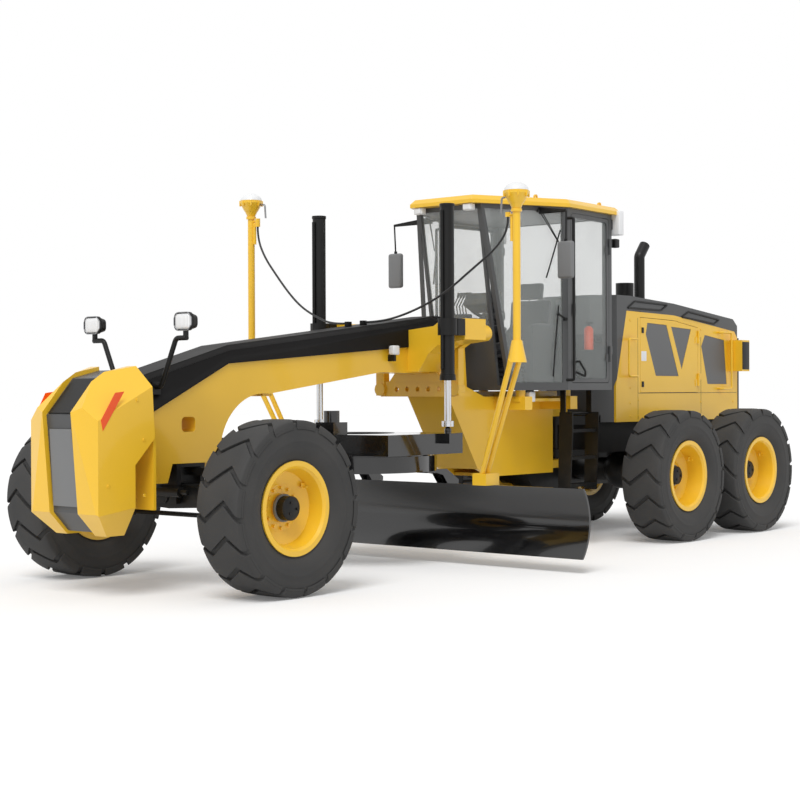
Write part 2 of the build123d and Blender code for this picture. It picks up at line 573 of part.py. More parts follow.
arm_y = 400
arm_wall = 34
arm_gap = 56                    # between the two plates of an arm
rail_depth = 62
hollow_x = blade_x - blade_hollow
cradle_front_x = hollow_x - blade_wall - rail_depth
tilt_x = cradle_front_x - 90
tilt_z = 330
ring_low_z = circle_top_z - circle_height
with BuildPart() as circle:
    rod((circle_x, 0, ring_low_z), (circle_x, 0, circle_top_z), circle_radius)
    rod((circle_x, 0, circle_top_z), (circle_x, 0, drawbar_low_z - fit_gap), circle_radius - 60)
    rod((circle_x, 0, ring_low_z), (circle_x, 0, drawbar_low_z), circle_radius - circle_wall, mode=Mode.SUBTRACT)
    for side in (-1, 1):
        for y in (arm_y, arm_y + arm_wall + arm_gap):
            plate_xz([(circle_x - 420, ring_low_z), (circle_x - 700, ring_low_z), (tilt_x - 80, 740),
                      (tilt_x - 60, tilt_z - 40), (tilt_x + 38, tilt_z - 50), (tilt_x + 28, 640), (tilt_x + 150, 790)],
                     *sorted((side * y, side * (y + arm_wall))))
        rod((tilt_x, side * arm_y, tilt_z), (tilt_x, side * (arm_y + 2 * arm_wall + arm_gap), tilt_z), 28)
        block(circle_x - 700, circle_x - 420, *sorted((side * arm_y, side * (arm_y + 2 * arm_wall + arm_gap))),
              ring_low_z - 30, ring_low_z)
save(circle.part, "circle")

# mouldboard section: a circular arc through both lips and the hollow
blade_depth = blade_top_z - blade_bottom_z
blade_mid_z = (blade_top_z + blade_bottom_z) / 2
rail_half_height = 26
with BuildPart() as moldboard:
    with BuildSketch(Plane.XZ.offset(-blade_length / 2)) as section:
        with BuildLine():
            ThreePointArc((blade_x + 10, blade_bottom_z), (hollow_x, blade_mid_z), (blade_x - 8, blade_top_z))
            Line((blade_x - 8, blade_top_z), (blade_x - 8 - blade_wall, blade_top_z))
            ThreePointArc((blade_x - 8 - blade_wall, blade_top_z), (hollow_x - blade_wall, blade_mid_z),
                          (blade_x + 10 - blade_wall, blade_bottom_z))
            Line((blade_x + 10 - blade_wall, blade_bottom_z), (blade_x + 10, blade_bottom_z))
        make_face()
    extrude(section.sketch, amount=blade_length)
    # slide rails on the back
    for z in rail_z:
        block(cradle_front_x, hollow_x - blade_wall + 30, -blade_length / 2 + 200, blade_length / 2 - 200,
              z - rail_half_height, z + rail_half_height)
    with BuildSketch(Plane.XZ.offset(-blade_length / 2)) as face_side:
        with BuildLine():
            ThreePointArc((blade_x + 10, blade_bottom_z), (hollow_x, blade_mid_z), (blade_x - 8, blade_top_z))
            Line((blade_x - 8, blade_top_z), (blade_x + 300, blade_top_z))
            Line((blade_x + 300, blade_top_z), (blade_x + 300, blade_bottom_z))
            Line((blade_x + 300, blade_bottom_z), (blade_x + 10, blade_bottom_z))
        make_face()
    extrude(face_side.sketch, amount=blade_length, mode=Mode.SUBTRACT)
save(moldboard.part, "moldboard")

slide_gap = 0.3
with BuildPart() as blade_cradle:
    low_y = arm_y + arm_wall + fit_gap
    high_y = arm_y + arm_wall + arm_gap - fit_gap
    for side in (-1, 1):
        y_pair = sorted((side * low_y, side * high_y))
        rod((tilt_x, side * low_y, tilt_z), (tilt_x, side * high_y, tilt_z), 56)
        plate_xz([(tilt_x - 40, tilt_z), (tilt_x - 40, 630), (cradle_front_x - slide_gap, 630),
                  (cradle_front_x - slide_gap, 225), (tilt_x, 280)], *y_pair)
        for z in rail_z:
            for way in (-1, 1):
                z_pair = sorted((z + way * (rail_half_height + slide_gap), z + way * (rail_half_height + 44)))
                block(cradle_front_x - slide_gap - 10, cradle_front_x + 45, *y_pair, *z_pair)
        rod((tilt_x, side * (low_y - 1), tilt_z), (tilt_x, side * (high_y + 1), tilt_z), 28 + 0.1, mode=Mode.SUBTRACT)
save(blade_cradle.part, "blade_cradle")

# masts: foot clamp, two raking struts, cone, pole, receiver
mast_x = blade_x + 210
mast_foot_x = blade_x + 40
cone_low_z = 1800
cone_high_z = 1990
pole_radius = 34
receiver_radius = 108
plug_reach = 90
left_cable = [(mast_x, mast_y - plug_reach, 3050), (mast_x, mast_y - plug_reach, 2940), (1165, 1405, 2780), (1200, 1180, 2620),
              (1230, 920, 2432), (1262, 680, 2312), (1295, 430, 2226), (1345, 230, 2184), left_clip]
right_cable = [(mast_x, -(mast_y - plug_reach), 3170), (mast_x, -(mast_y - plug_reach), 3050), (1180, -1385, 2860), (1240, -1175, 2680),
               (1300, -945, 2490), (1350, -730, 2345), (1400, -490, 2245), (1470, -240, 2172), right_clip]
with BuildPart() as blade_masts:
    block(blade_x - 10 - blade_wall - 50, mast_foot_x + 70, mast_foot_y - 75, mast_foot_y + 75, blade_top_z + fit_gap,
          blade_top_z + 105)
    for shift in (-62, 62):
        rod((mast_foot_x + shift * 0.6, mast_foot_y, blade_top_z + 80), (mast_x + shift, mast_y - 20, cone_low_z + 20), 24)
    with Locations((mast_x, mast_y, (cone_low_z + cone_high_z) / 2)):
        Cone(85, 45, cone_high_z - cone_low_z)
    mirror(about=Plane.XZ)
    for side, top in mast_tops.items():
        y = side * mast_y
        plug_y = side * (mast_y - plug_reach)
        cable_top = (left_cable if side > 0 else right_cable)[0][2]
        rod((mast_x, y, cone_high_z - 20), (mast_x, y, top), pole_radius)
        with Locations((mast_x, y, top + 25)):
            Cone(pole_radius, 62, 60)
        with Locations((mast_x, y, top + 95)):
            Cone(66, receiver_radius, 80)
        rod((mast_x, y, top + 134), (mast_x, y, top + 160), receiver_radius)
        with Locations((mast_x, y, top + 159)):
            Cone(receiver_radius - 4, receiver_radius - 40, 51, align=(Align.CENTER, Align.CENTER, Align.MIN))
        # plug of the cable on its arm, and the clamp beside the pole
        rod((mast_x, side * (mast_y - 20), top - 45), (mast_x, plug_y, top - 45), 12)
        rod((mast_x, plug_y, cable_top), (mast_x, plug_y, top - 20), 24)
        rod((mast_x, side * (mast_y - pole_radius - 14), top - 270), (mast_x, side * (mast_y - pole_radius - 14), top - 60), 16)
save(blade_masts.part, "blade_masts")

# cables from the masts' plugs to the clips on the gooseneck
for label, points in (("left", left_cable), ("right", right_cable)):
    runs = [(Vector(*b) - Vector(*a)) for a, b in zip(points, points[1:])]
    with BuildPart() as mast_cable:
        with BuildLine() as route:
            joints = []
            for before, after in zip(runs, runs[1:]):
                turn = radians(before.get_angle(after))
                joints.append(0.45 * min(before.length, after.length) / tan(turn / 2))
            FilletPolyline(*points, radius=joints)
        with BuildSketch(Plane(origin=route.line @ 0, z_dir=route.line % 0)) as face:
            Circle(cable_radius)
        sweep(face.sketch, path=route.line)
    length = route.wire().length
    print(f"mast_cable_{label}: {length:.0f} mm long, bends", [round(bend) for bend in joints],
          f"volume by section times length {mast_cable.part.volume / (length * pi * cable_radius ** 2):.4f}")
    save(mast_cable.part, f"mast_cable_{label}")

# ---- cab -------------------------------------------------------------------------------------------
lean_slope = (cab_front_x - cab_sill_x) / (cab_eave_z - cab_floor_z)


def cab_plan(inset):
    """Half plan of the cab, moved inwards by the inset."""
    return mirrored([(cab_front_x - inset, cab_front_half - inset * 0.62), (cab_wide_x, cab_wide_half - inset),
                     (cab_rear_x + inset, cab_rear_half - inset)])


def front_wedge(inset):
    """What lies ahead of the leaning windscreen, in (x, z)."""
    low_x = cab_sill_x - inset
    high_x = cab_front_x - inset
    return [(low_x, cab_floor_z), (high_x + 40 * lean_slope, cab_eave_z + 40), (high_x + 900, cab_eave_z + 40),
            (high_x + 900, cab_floor_z - 300), (low_x - 300 * lean_slope, cab_floor_z - 300)]


def facet(corner_a, corner_b, height):
    """Plane of an upright cab face: origin midway between two plan corners, normal outwards."""
    middle = ((corner_a[0] + corner_b[0]) / 2, (corner_a[1] + corner_b[1]) / 2)
    run = Vector(corner_b[0] - corner_a[0], corner_b[1] - corner_a[1], 0).normalized()
    outward = Vector(run.Y, -run.X, 0)
    if outward.dot(Vector(0, middle[1], 0)) < 0:
        outward = -outward
    return Plane(origin=(*middle, height), x_dir=Vector(0, 0, 1).cross(outward), z_dir=outward)


def plan_length(corner_a, corner_b):
    return hypot(corner_a[0] - corner_b[0], corner_a[1] - corner_b[1])


door_low_z = cab_floor_z + 70
door_high_z = cab_eave_z - 45
door_mid_z = (door_low_z + door_high_z) / 2
door_gap = 6
door_frame = 42
door_span = plan_length((cab_wide_x, cab_wide_half), (cab_rear_x, cab_rear_half)) - 2 * cab_post
door_height = door_high_z - door_low_z
cab_hinge_heights = (-620, 470)     # lower ends of the door's barrels, from the door's middle
cab_hinge_radius = 13
cab_hinge_length = 80


def cab_hinge(plane, side, way, low):
    """Half of a cab hinge at a door's rear edge; way is -1 for the door's half and 1 for the post's."""
    edge = side * (door_span / 2 - door_gap / 2)
    out = cab_hinge_radius + 1
    rod(plane.from_local_coords((edge, low, out)), plane.from_local_coords((edge, low + cab_hinge_length, out)),
        cab_hinge_radius)
    with BuildSketch(plane.offset(-2)) as leaf:
        with Locations((edge + side * way * 32, low + cab_hinge_length / 2)):
            Rectangle(64, cab_hinge_length)
    extrude(leaf.sketch, amount=9)


glass_mid_z = (cab_glass_low_z + door_high_z) / 2
glass_height = door_high_z - cab_glass_low_z
screen_low_z = cab_floor_z + 480
screen_margin = 50
side_window_margin = 38

side_half = plan_length((cab_front_x, cab_front_half), (cab_wide_x, cab_wide_half)) / 2
side_run = side_half * 2 / (cab_front_x - cab_wide_x)      # along the face for each step in x


def side_window(inset):
    """Corners of a front side window, as (run from the face's middle towards the rear, z)."""
    front_low = -side_half + (cab_front_x - cab_sill_x - lean_slope * (cab_glass_low_z - cab_floor_z)) * side_run
    return [(-side_half + side_window_margin + 1.5 * inset, door_high_z - inset),
            (side_half - cab_post - inset, door_high_z - inset), (side_half - cab_post - inset, cab_glass_low_z + inset),
            (front_low + side_window_margin + 1.5 * inset, cab_glass_low_z + inset)]


with BuildPart() as cab_frame:
    plate_xy(cab_plan(0), cab_floor_z, cab_eave_z)
    plate_xy(cab_plan(cab_wall), cab_floor_z + 50, cab_eave_z - 40, mode=Mode.SUBTRACT)
    plate_xz(front_wedge(0), -1000, 1000, mode=Mode.SUBTRACT)
    with BuildSketch(Plane.XZ.offset(-cab_front_half + 20)) as wall_core:
        with BuildLine():
            Polyline(*front_wedge(cab_wall)[:2], (cab_front_x, cab_eave_z + 40), (cab_sill_x, cab_floor_z), close=True)
        make_face()
    extrude(wall_core.sketch, amount=2 * cab_front_half - 40)
    block(cab_rear_x - 10, cab_front_x + 200, -900, 900, cab_eave_z, cab_eave_z + 200, mode=Mode.SUBTRACT)
    for side in (-1, 1):
        for corner_a, corner_b, width, height, middle_z in (
                ((cab_wide_x, side * cab_wide_half), (cab_rear_x, side * cab_rear_half), door_span, door_height,
                 door_mid_z),):
            with BuildSketch(facet(corner_a, corner_b, middle_z).offset(-cab_wall - 30)) as opening:
                RectangleRounded(width, height, 40)
            extrude(opening.sketch, amount=cab_wall + 80, mode=Mode.SUBTRACT)
        # front side window, its front edge along the leaning post
        side_plane = facet((cab_front_x, side * cab_front_half), (cab_wide_x, side * cab_wide_half), 0)
        with BuildSketch(side_plane.offset(-cab_wall - 30)) as opening:
            with BuildLine():
                Polyline(*[(side * run, z) for run, z in side_window(0)], close=True)
            make_face()
        extrude(opening.sketch, amount=cab_wall + 80, mode=Mode.SUBTRACT)
        for low in cab_hinge_heights:
            cab_hinge(facet((cab_wide_x, side * cab_wide_half), (cab_rear_x, side * cab_rear_half), door_mid_z), side, 1,
                      low + cab_hinge_length + fit_gap)
    block(cab_sill_x - 150, cab_front_x + 50, -cab_front_half + screen_margin, cab_front_half - screen_margin, screen_low_z,
          door_high_z,
          mode=Mode.SUBTRACT)
    block(cab_rear_x - 40, cab_rear_x + cab_wall + 60, -cab_rear_half + 90, cab_rear_half - 90, cab_glass_low_z + 500,
          door_high_z, mode=Mode.SUBTRACT)
save(cab_frame.part, "cab_frame")

with BuildPart() as cab_glass:
    pane_inset = cab_wall / 2
    with BuildSketch(Plane.XZ.offset(-cab_front_half + screen_margin + fit_gap)) as screen:
        with BuildLine():
            low_x = cab_sill_x + lean_slope * (screen_low_z - cab_floor_z) - pane_inset
            high_x = cab_sill_x + lean_slope * (door_high_z - cab_floor_z) - pane_inset
            Polyline((low_x, screen_low_z + fit_gap), (high_x, door_high_z - fit_gap),
                     (high_x - glass_wall, door_high_z - fit_gap), (low_x - glass_wall, screen_low_z + fit_gap),
                     close=True)
        make_face()
    extrude(screen.sketch, amount=2 * (cab_front_half - screen_margin - fit_gap))
    block(cab_rear_x + pane_inset, cab_rear_x + pane_inset + glass_wall, -cab_rear_half + 90 + fit_gap,
          cab_rear_half - 90 - fit_gap, cab_glass_low_z + 500 + fit_gap, door_high_z - fit_gap)
    for side in (-1, 1):
        side_plane = facet((cab_front_x, side * cab_front_half), (cab_wide_x, side * cab_wide_half), 0)
        with BuildSketch(side_plane.offset(-pane_inset)) as pane:
            with BuildLine():
                Polyline(*[(side * run, z) for run, z in side_window(fit_gap)], close=True)
            make_face()
        extrude(pane.sketch, amount=glass_wall)
save(cab_glass.part, "cab_glass")

for label, side in (("left", 1), ("right", -1)):
    door_plane = facet((cab_wide_x, side * cab_wide_half), (cab_rear_x, side * cab_rear_half), door_mid_z)
    window_height = door_height - 2 * door_frame
    with BuildPart() as cab_door:
        with BuildSketch(door_plane.offset(-cab_wall)) as leaf:
            RectangleRounded(door_span - 2 * door_gap, door_height - 2 * door_gap, 36)
        extrude(leaf.sketch, amount=cab_wall)
        with BuildSketch(door_plane.offset(-cab_wall - 5)) as window:
            RectangleRounded(door_span - 2 * door_gap - 2 * door_frame, window_height, 40)
        extrude(window.sketch, amount=cab_wall + 10, mode=Mode.SUBTRACT)
        for low in cab_hinge_heights:
            cab_hinge(door_plane, side, -1, low)
    save(cab_door.part, f"cab_door_{label}")
    with BuildPart() as door_glass:
        with BuildSketch(door_plane.offset(-cab_wall / 2)) as pane:
            RectangleRounded(door_span - 2 * door_gap - 2 * door_frame - 2 * fit_gap, window_height - 2 * fit_gap, 40 - fit_gap)
        extrude(pane.sketch, amount=glass_wall)
    save(door_glass.part, f"cab_door_glass_{label}")

with BuildPart() as cab_roof:
    roof_plan = mirrored([(tandem_x + 3206, 383), (cab_wide_x + 20, cab_wide_half + 45),
                          (tandem_x + 1230, cab_rear_half + 45)])
    plate_xy(roof_plan, cab_eave_z + fit_gap, cab_roof_z)
    chamfer(cab_roof.faces().sort_by(Axis.Z)[-1].edges(), 45)
    # work lamps under the visor
    for y in (-303, 303):
        block(tandem_x + 3100, tandem_x + 3150, y - 10, y + 10, cab_eave_z - 20, cab_eave_z + 20)
        block(tandem_x + 3120, tandem_x + 3180, y - 48, y + 48, cab_eave_z - 60, cab_eave_z - 5)
    # eyes for lifting the cab
    for x, y in ((tandem_x + 2420, 560), (tandem_x + 1420, 640)):
        for side in (-1, 1):
            with BuildSketch(Plane.XZ.offset(-side * y - 8)) as lift_eye:
                with Locations((x, cab_roof_z + 22)):
                    Circle(28)
                    Circle(14, mode=Mode.SUBTRACT)
            extrude(lift_eye.sketch, amount=16)
            rod((x, side * y, cab_roof_z - 12), (x, side * y, cab_roof_z + 2), 12)
save(cab_roof.part, "cab_roof")

with BuildPart() as seat:
    seat_x = tandem_x + 1950
    block(seat_x - 200, seat_x + 200, -200, 200, cab_floor_z + 50 + fit_gap, cab_floor_z + 340)
    block(seat_x - 260, seat_x + 260, -250, 250, cab_floor_z + 340, cab_floor_z + 460)
    plate_xz([(seat_x - 270, cab_floor_z + 440), (seat_x - 160, cab_floor_z + 440), (seat_x - 240, cab_floor_z + 1120),
              (seat_x - 330, cab_floor_z + 1120)], -240, 240)
save(seat.part, "seat")

with BuildPart() as console:
    column_x = tandem_x + 2560
    plate_xz([(column_x - 60, cab_floor_z + 50 + fit_gap), (column_x + 80, cab_floor_z + 50 + fit_gap),
              (column_x + 20, cab_floor_z + 700), (column_x - 60, cab_floor_z + 720)], -70, 70)
    rod((column_x - 20, 0, cab_floor_z + 700), (column_x - 70, 0, cab_floor_z + 790), 22)
    with BuildSketch(Plane(origin=(column_x - 70, 0, cab_floor_z + 790), x_dir=(0, 1, 0),
                           z_dir=(-50, 0, 90))) as wheel_rim:
        Circle(190)
        Circle(160, mode=Mode.SUBTRACT)
        Rectangle(330, 40)
    extrude(wheel_rim.sketch, amount=24)
    for side in (-1, 1):
        block(seat_x - 60, seat_x + 300, *sorted((side * 300, side * 400)), cab_floor_z + 50 + fit_gap,
              cab_floor_z + 640)
save(console.part, "console")

with BuildPart() as mirrors:
    mirror_x = tandem_x + 2630
    block(mirror_x - 25, mirror_x + 25, 975, 1145, 2620, 2975)
    side_wall_y = cab_front_half + (cab_front_x - mirror_x) * (cab_wide_half - cab_front_half) / (cab_front_x - cab_wide_x)
    bent_tube([(mirror_x, side_wall_y + 12, 3160), (mirror_x, 1060, 3160), (mirror_x, 1060, 2970)], 60, 14)
    pad_plane = facet((cab_front_x, cab_front_half), (cab_wide_x, cab_wide_half), 3160).offset(fit_gap)
    pad_plane.origin = Vector(mirror_x, side_wall_y, 3160) + pad_plane.z_dir * fit_gap
    with BuildSketch(pad_plane) as pad:
        RectangleRounded(80, 70, 12)
    extrude(pad.sketch, amount=22)
    mirror(about=Plane.XZ)
save(mirrors.part, "mirrors")

with BuildPart() as cab_steps:
    step_x = (tandem_x + 1640, tandem_x + 2100)
    for x in step_x:
        plate_yz([(600, 560), (745, 560), (775, 1150), (775, 1340), (620, 1340)], x, x + 14)
        block(x, x + 14, 630, 690, 1330, cab_floor_z - fit_gap)
    for z in (600, 870, 1140):
        block(step_x[0], step_x[1] + 14, 620, 745, z, z + 30)
    rod((step_x[0], 650, 1330), (step_x[1], 650, 1330), 12)
    mirror(about=Plane.XZ)
save(cab_steps.part, "cab_steps")

# ---- rear frame, axle, hood ------------------------------------------------------------------------
rail_half = 360
rail_low_z = 900
rail_high_z = hood_bottom_z - fit_gap
tow_pin_x = hood_rear_x + 30
tow_pin_radius = 25
tow_slot_z = (650, 750)
with BuildPart() as rear_frame:
    for y in (-rail_half, rail_half - 60):
        plate_xz([(hood_rear_x - 40, rail_high_z), (tandem_x + 1080, rail_high_z), (tandem_x + 1080, rail_low_z),
                  (hood_rear_x - 40, rail_low_z)], y, y + 60)
    for x in (tandem_x + 1020, tandem_x + 400, tandem_x - 500, tandem_x - 1340):
        block(x, x + 60, -rail_half, rail_half, rail_low_z, rail_high_z)
    block(hood_rear_x - 50, hood_rear_x - 10, -600, 600, 560, rail_high_z)
    block(hood_rear_x - 50, tandem_x - 1300, -rail_half, rail_half, 560, rail_low_z)
    nose_low, nose_high = hitch_lug_z[1][1] + 4, hitch_lug_z[0][0] - 4
    block(tandem_x + 1020, tandem_x + 1080, -rail_half, rail_half, nose_low, nose_high)
    for low, high in ((nose_low, nose_low + 90), (nose_high - 90, nose_high)):
        plate_xy([(hitch_x, -110), (hitch_x, 110), (tandem_x + 1070, 300), (tandem_x + 1070, -300)], low, high)
        rod((hitch_x, 0, low), (hitch_x, 0, high), 110)
    rod((hitch_x, 0, hitch_lug_z[1][0] - 20), (hitch_x, 0, hitch_lug_z[0][1] + 20), hitch_pin_radius)
    # tow pin's fork at the rear
    block(hood_rear_x - 51, tow_pin_x + 80, -100, 100, *tow_slot_z, mode=Mode.SUBTRACT)
    rod((tow_pin_x, 0, 559), (tow_pin_x, 0, rail_low_z + 1), tow_pin_radius, mode=Mode.SUBTRACT)
save(rear_frame.part, "rear_frame")

case_y = (600, 860)
with BuildPart() as tandem_axle:
    for side in (-1, 1):
        with BuildSketch(Plane.XZ.offset(-max(side * y for y in case_y))) as case:
            with Locations((tandem_x, axle_z)):
                SlotCenterToCenter(tandem_spacing, 400)
        extrude(case.sketch, amount=case_y[1] - case_y[0])
        for x in (tandem_x - tandem_spacing / 2, tandem_x + tandem_spacing / 2):
            hub_back = rear_wheel_y + rim_width / 2 - rear_hub_depth - 30 - disc_wall
            rod((x, side * (case_y[1] - 5), axle_z), (x, side * (hub_back - fit_gap), axle_z), 150)
    rod((tandem_x, -case_y[0] - 5, axle_z), (tandem_x, case_y[0] + 5, axle_z), 130)
    with Locations((tandem_x, 0, axle_z)):
        Sphere(210)
    for y in (-rail_half + 30, rail_half - 30):
        block(tandem_x - 110, tandem_x + 110, y - 60, y + 60, axle_z, rail_low_z - fit_gap)
save(tandem_axle.part, "tandem_axle")

with BuildPart() as engine_block:
    block(tandem_x - 1200, tandem_x + 350, -300, 300, hood_bottom_z + fit_gap, hood_bottom_z + 850)
save(engine_block.part, "engine_block")

hood_top = [(tandem_x + 690, 2400), (tandem_x - 275, 2380), (tandem_x - 1630, 2234)]
hood_outline = [(hood_front_x, hood_bottom_z), (hood_front_x, 1600), *hood_top, (hood_rear_x, 2160),
                (hood_rear_x, hood_bottom_z)]
door_x = (tandem_x - 790, tandem_x + 420)
door_outline = [(door_x[0], hood_seam_z), (door_x[0], 2255), (tandem_x - 275, 2320), (door_x[1], 2335),
                (door_x[1], hood_seam_z)]
door_clear = 5
hinge_radius = 11
hinge_length = 70
hinge_x = door_x[0] - door_clear / 2
hinge_y = hood_half + hinge_radius


def hinge_leaf(x_low, x_high, side, z_low):
    """Half of a hood hinge: its barrel and the leaf that reaches a panel's face."""
    rod((hinge_x, side * hinge_y, z_low), (hinge_x, side * hinge_y, z_low + hinge_length), hinge_radius)
    block(x_low, x_high, *sorted((side * (hood_half - 2), side * (hood_half + 7))), z_low, z_low + hinge_length)


vent_pitch = 52
vent_slot = 26
vent_recess = 8
door_vents = [[(tandem_x + 275, 2284), (tandem_x - 120, 2270), (tandem_x - 375, 1708), (tandem_x + 105, 1708),
               (tandem_x + 310, 2160)],
              [(tandem_x - 215, 2255), (tandem_x - 645, 2235), (tandem_x - 440, 1780)]]
side_vent = [(tandem_x - 950, 2180), (tandem_x - 1390, 2130), (tandem_x - 1450, 1620), (tandem_x - 1010, 1620),
             (tandem_x - 870, 2050)]
rail_reach = 60
rail_radius = 12
grab_rails = ((tandem_x + 555, tandem_x + 735, 1704, 2100), (tandem_x - 1240, tandem_x - 1460, 1570, 2215))   # (foot, bar, z low, z high)


def louvres(outline, side):
    """A recess with level slots through a side panel of the hood."""
    low_y, high_y = sorted((side * (hood_half - vent_recess), side * (hood_half + 10)))
    plate_xz(outline, low_y, high_y, mode=Mode.SUBTRACT)
    x_middle = sum(x for x, _ in outline) / len(outline)
    z_low = min(z for _, z in outline)
    count = int((max(z for _, z in outline) - z_low) / vent_pitch)
    low_y, high_y = sorted((side * (hood_half - hood_wall - 10), side * (hood_half + 10)))
    with BuildSketch(Plane.XZ.offset(-high_y)) as slots:
        with Locations(*[(x_middle, z_low + vent_pitch * (n + 0.6)) for n in range(count)]):
            Rectangle(1400, vent_slot)
        with BuildLine():
            Polyline(*outline, close=True)
        make_face(mode=Mode.INTERSECT)
    extrude(slots.sketch, amount=high_y - low_y, mode=Mode.SUBTRACT)


hinge_z = (1600, 2080)
with BuildPart() as hood_sides:
    plate_xz(hood_outline, -hood_half, hood_half)
    block(hood_rear_x - 10, hood_front_x + 10, -hood_half + hood_wall, hood_half - hood_wall, hood_bottom_z - 10, 2500,
          mode=Mode.SUBTRACT)
    with BuildSketch(Plane.XZ.offset(-hood_half - 10)) as opening:
        with BuildLine():
            Polyline(*door_outline, close=True)
        make_face()
        offset(amount=door_clear, kind=Kind.INTERSECTION)
    extrude(opening.sketch, amount=2 * hood_half + 20, mode=Mode.SUBTRACT)
    for side in (-1, 1):
        louvres(side_vent, side)
        # grab rails ahead of the door and round the rear vent
        for foot_x, bar_x, z_low, z_high in grab_rails:
            root_y, rail_y = side * (hood_half - 6), side * (hood_half + rail_reach)
            bent_tube([(foot_x, root_y, z_high), (foot_x, rail_y, z_high), (bar_x, rail_y, z_high), (bar_x, rail_y, z_low),
                       (foot_x, rail_y, z_low), (foot_x, root_y, z_low)], 26, rail_radius)
        for z in hinge_z:
            hinge_leaf(hinge_x - 60, hinge_x, side, z + hinge_length + fit_gap)
save(hood_sides.part, "hood_sides")

for label, side in (("left", 1), ("right", -1)):
    with BuildPart() as hood_door:
        plate_xz(door_outline, *sorted((side * (hood_half - hood_wall), side * hood_half)))
        for outline in door_vents:
            louvres(outline, side)
        for z in hinge_z:
            hinge_leaf(hinge_x, hinge_x + 60, side, z)
    save(hood_door.part, f"hood_door_{label}")

cap_front_x = tandem_x + 1060
stack_x = tandem_x + 114
stack_y = 300
stack_radius = 58
with BuildPart() as hood_cover:
    plate_xz([(x, z + fit_gap) for x, z in hood_top] + [(hood_rear_x, 2160 + fit_gap), (hood_rear_x, 2300),
             (tandem_x - 1600, 2378), (tandem_x - 270, 2510), (tandem_x + 640, 2560), (tandem_x + 690, 2560)],
             -hood_half, hood_half)
    plate_xy(mirrored([(cap_front_x, 280), (hood_front_x - 20, hood_half), (tandem_x + 600, hood_half)]),
             hood_bottom_z, 2560)
    plate_xy(mirrored([(cap_front_x - hood_wall, 280 - 18), (hood_front_x - 40, hood_half - hood_wall - fit_gap),
                       (tandem_x + 500, hood_half - hood_wall - fit_gap)]),
             hood_bottom_z - 10, 2400, mode=Mode.SUBTRACT)
    block(tandem_x + 900, cap_front_x + 10, -rail_half - 5, rail_half + 5, hood_bottom_z - 10, nose_high + 5,
          mode=Mode.SUBTRACT)
    rod((stack_x, stack_y, 2450), (stack_x, stack_y, 2600), stack_radius + fit_gap, mode=Mode.SUBTRACT)
    for y_low, y_high in ((hood_half - hood_wall - fit_gap, hood_half + 10), (-hood_half - 10, -hood_half + hood_wall + fit_gap)):
        plate_xz([(hood_front_x + fit_gap, hood_bottom_z - 20), (hood_front_x + fit_gap, 1600),
                  (tandem_x + 690 + fit_gap, 2400 + fit_gap), (tandem_x + 400, 2400), (tandem_x + 400, hood_bottom_z - 20)],
                 y_low, y_high, mode=Mode.SUBTRACT)
save(hood_cover.part, "hood_cover")

with BuildPart() as radiator_grille:
    block(hood_rear_x - 35, hood_rear_x - fit_gap, -hood_half, hood_half, hood_bottom_z + fit_gap, 2160)
    for n in range(10):
        block(hood_rear_x - 36, hood_rear_x - 15, -hood_half + 60, hood_half - 60, 1300 + 80 * n, 1340 + 80 * n,
              mode=Mode.SUBTRACT)
save(radiator_grille.part, "radiator_grille")

with BuildPart() as exhaust_stack:
    bent_tube([(stack_x, stack_y, 2480), (stack_x, stack_y, 3020), (stack_x - 110, stack_y, 3150)], 60, stack_radius)
    with Locations((tandem_x - 60, 0, 2640)):
        Cylinder(100, 215)
save(exhaust_stack.part, "exhaust_stack")

with BuildPart() as rear_lamps:
    block(hood_rear_x + 20, hood_rear_x + 200, hood_half + fit_gap, hood_half + 170, 1770, 2130)
    mirror(about=Plane.XZ)
save(rear_lamps.part, "rear_lamps")
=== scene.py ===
import bpy, bmesh, json, math
from mathutils import Matrix, Vector


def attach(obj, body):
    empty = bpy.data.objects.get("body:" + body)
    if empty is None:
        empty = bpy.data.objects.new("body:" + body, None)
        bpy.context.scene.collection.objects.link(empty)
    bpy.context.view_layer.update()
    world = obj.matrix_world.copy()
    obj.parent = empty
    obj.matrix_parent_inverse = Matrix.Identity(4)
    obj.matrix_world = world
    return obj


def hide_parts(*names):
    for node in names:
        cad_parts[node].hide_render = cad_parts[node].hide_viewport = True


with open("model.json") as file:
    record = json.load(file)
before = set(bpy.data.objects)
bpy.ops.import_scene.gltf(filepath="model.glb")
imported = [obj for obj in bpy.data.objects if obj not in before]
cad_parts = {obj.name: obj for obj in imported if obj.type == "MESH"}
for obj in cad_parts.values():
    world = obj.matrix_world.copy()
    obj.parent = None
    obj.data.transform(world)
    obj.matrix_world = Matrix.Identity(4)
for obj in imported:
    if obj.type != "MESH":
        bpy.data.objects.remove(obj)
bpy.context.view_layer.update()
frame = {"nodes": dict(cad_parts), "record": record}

nodes = frame["nodes"]
scene = bpy.context.scene
print("frame loaded")

# places that the pieces share, in metres
machine = {
    "tandemX": -3.03, "frontAxleX": 3.57, "axleZ": 0.675, "frontWheelY": 1.152, "rearWheelY": 1.122,
    "tandemSpacing": 1.54,
}
tandemX, axleZ = machine["tandemX"], machine["axleZ"]
sides = (("left", 1), ("right", -1))


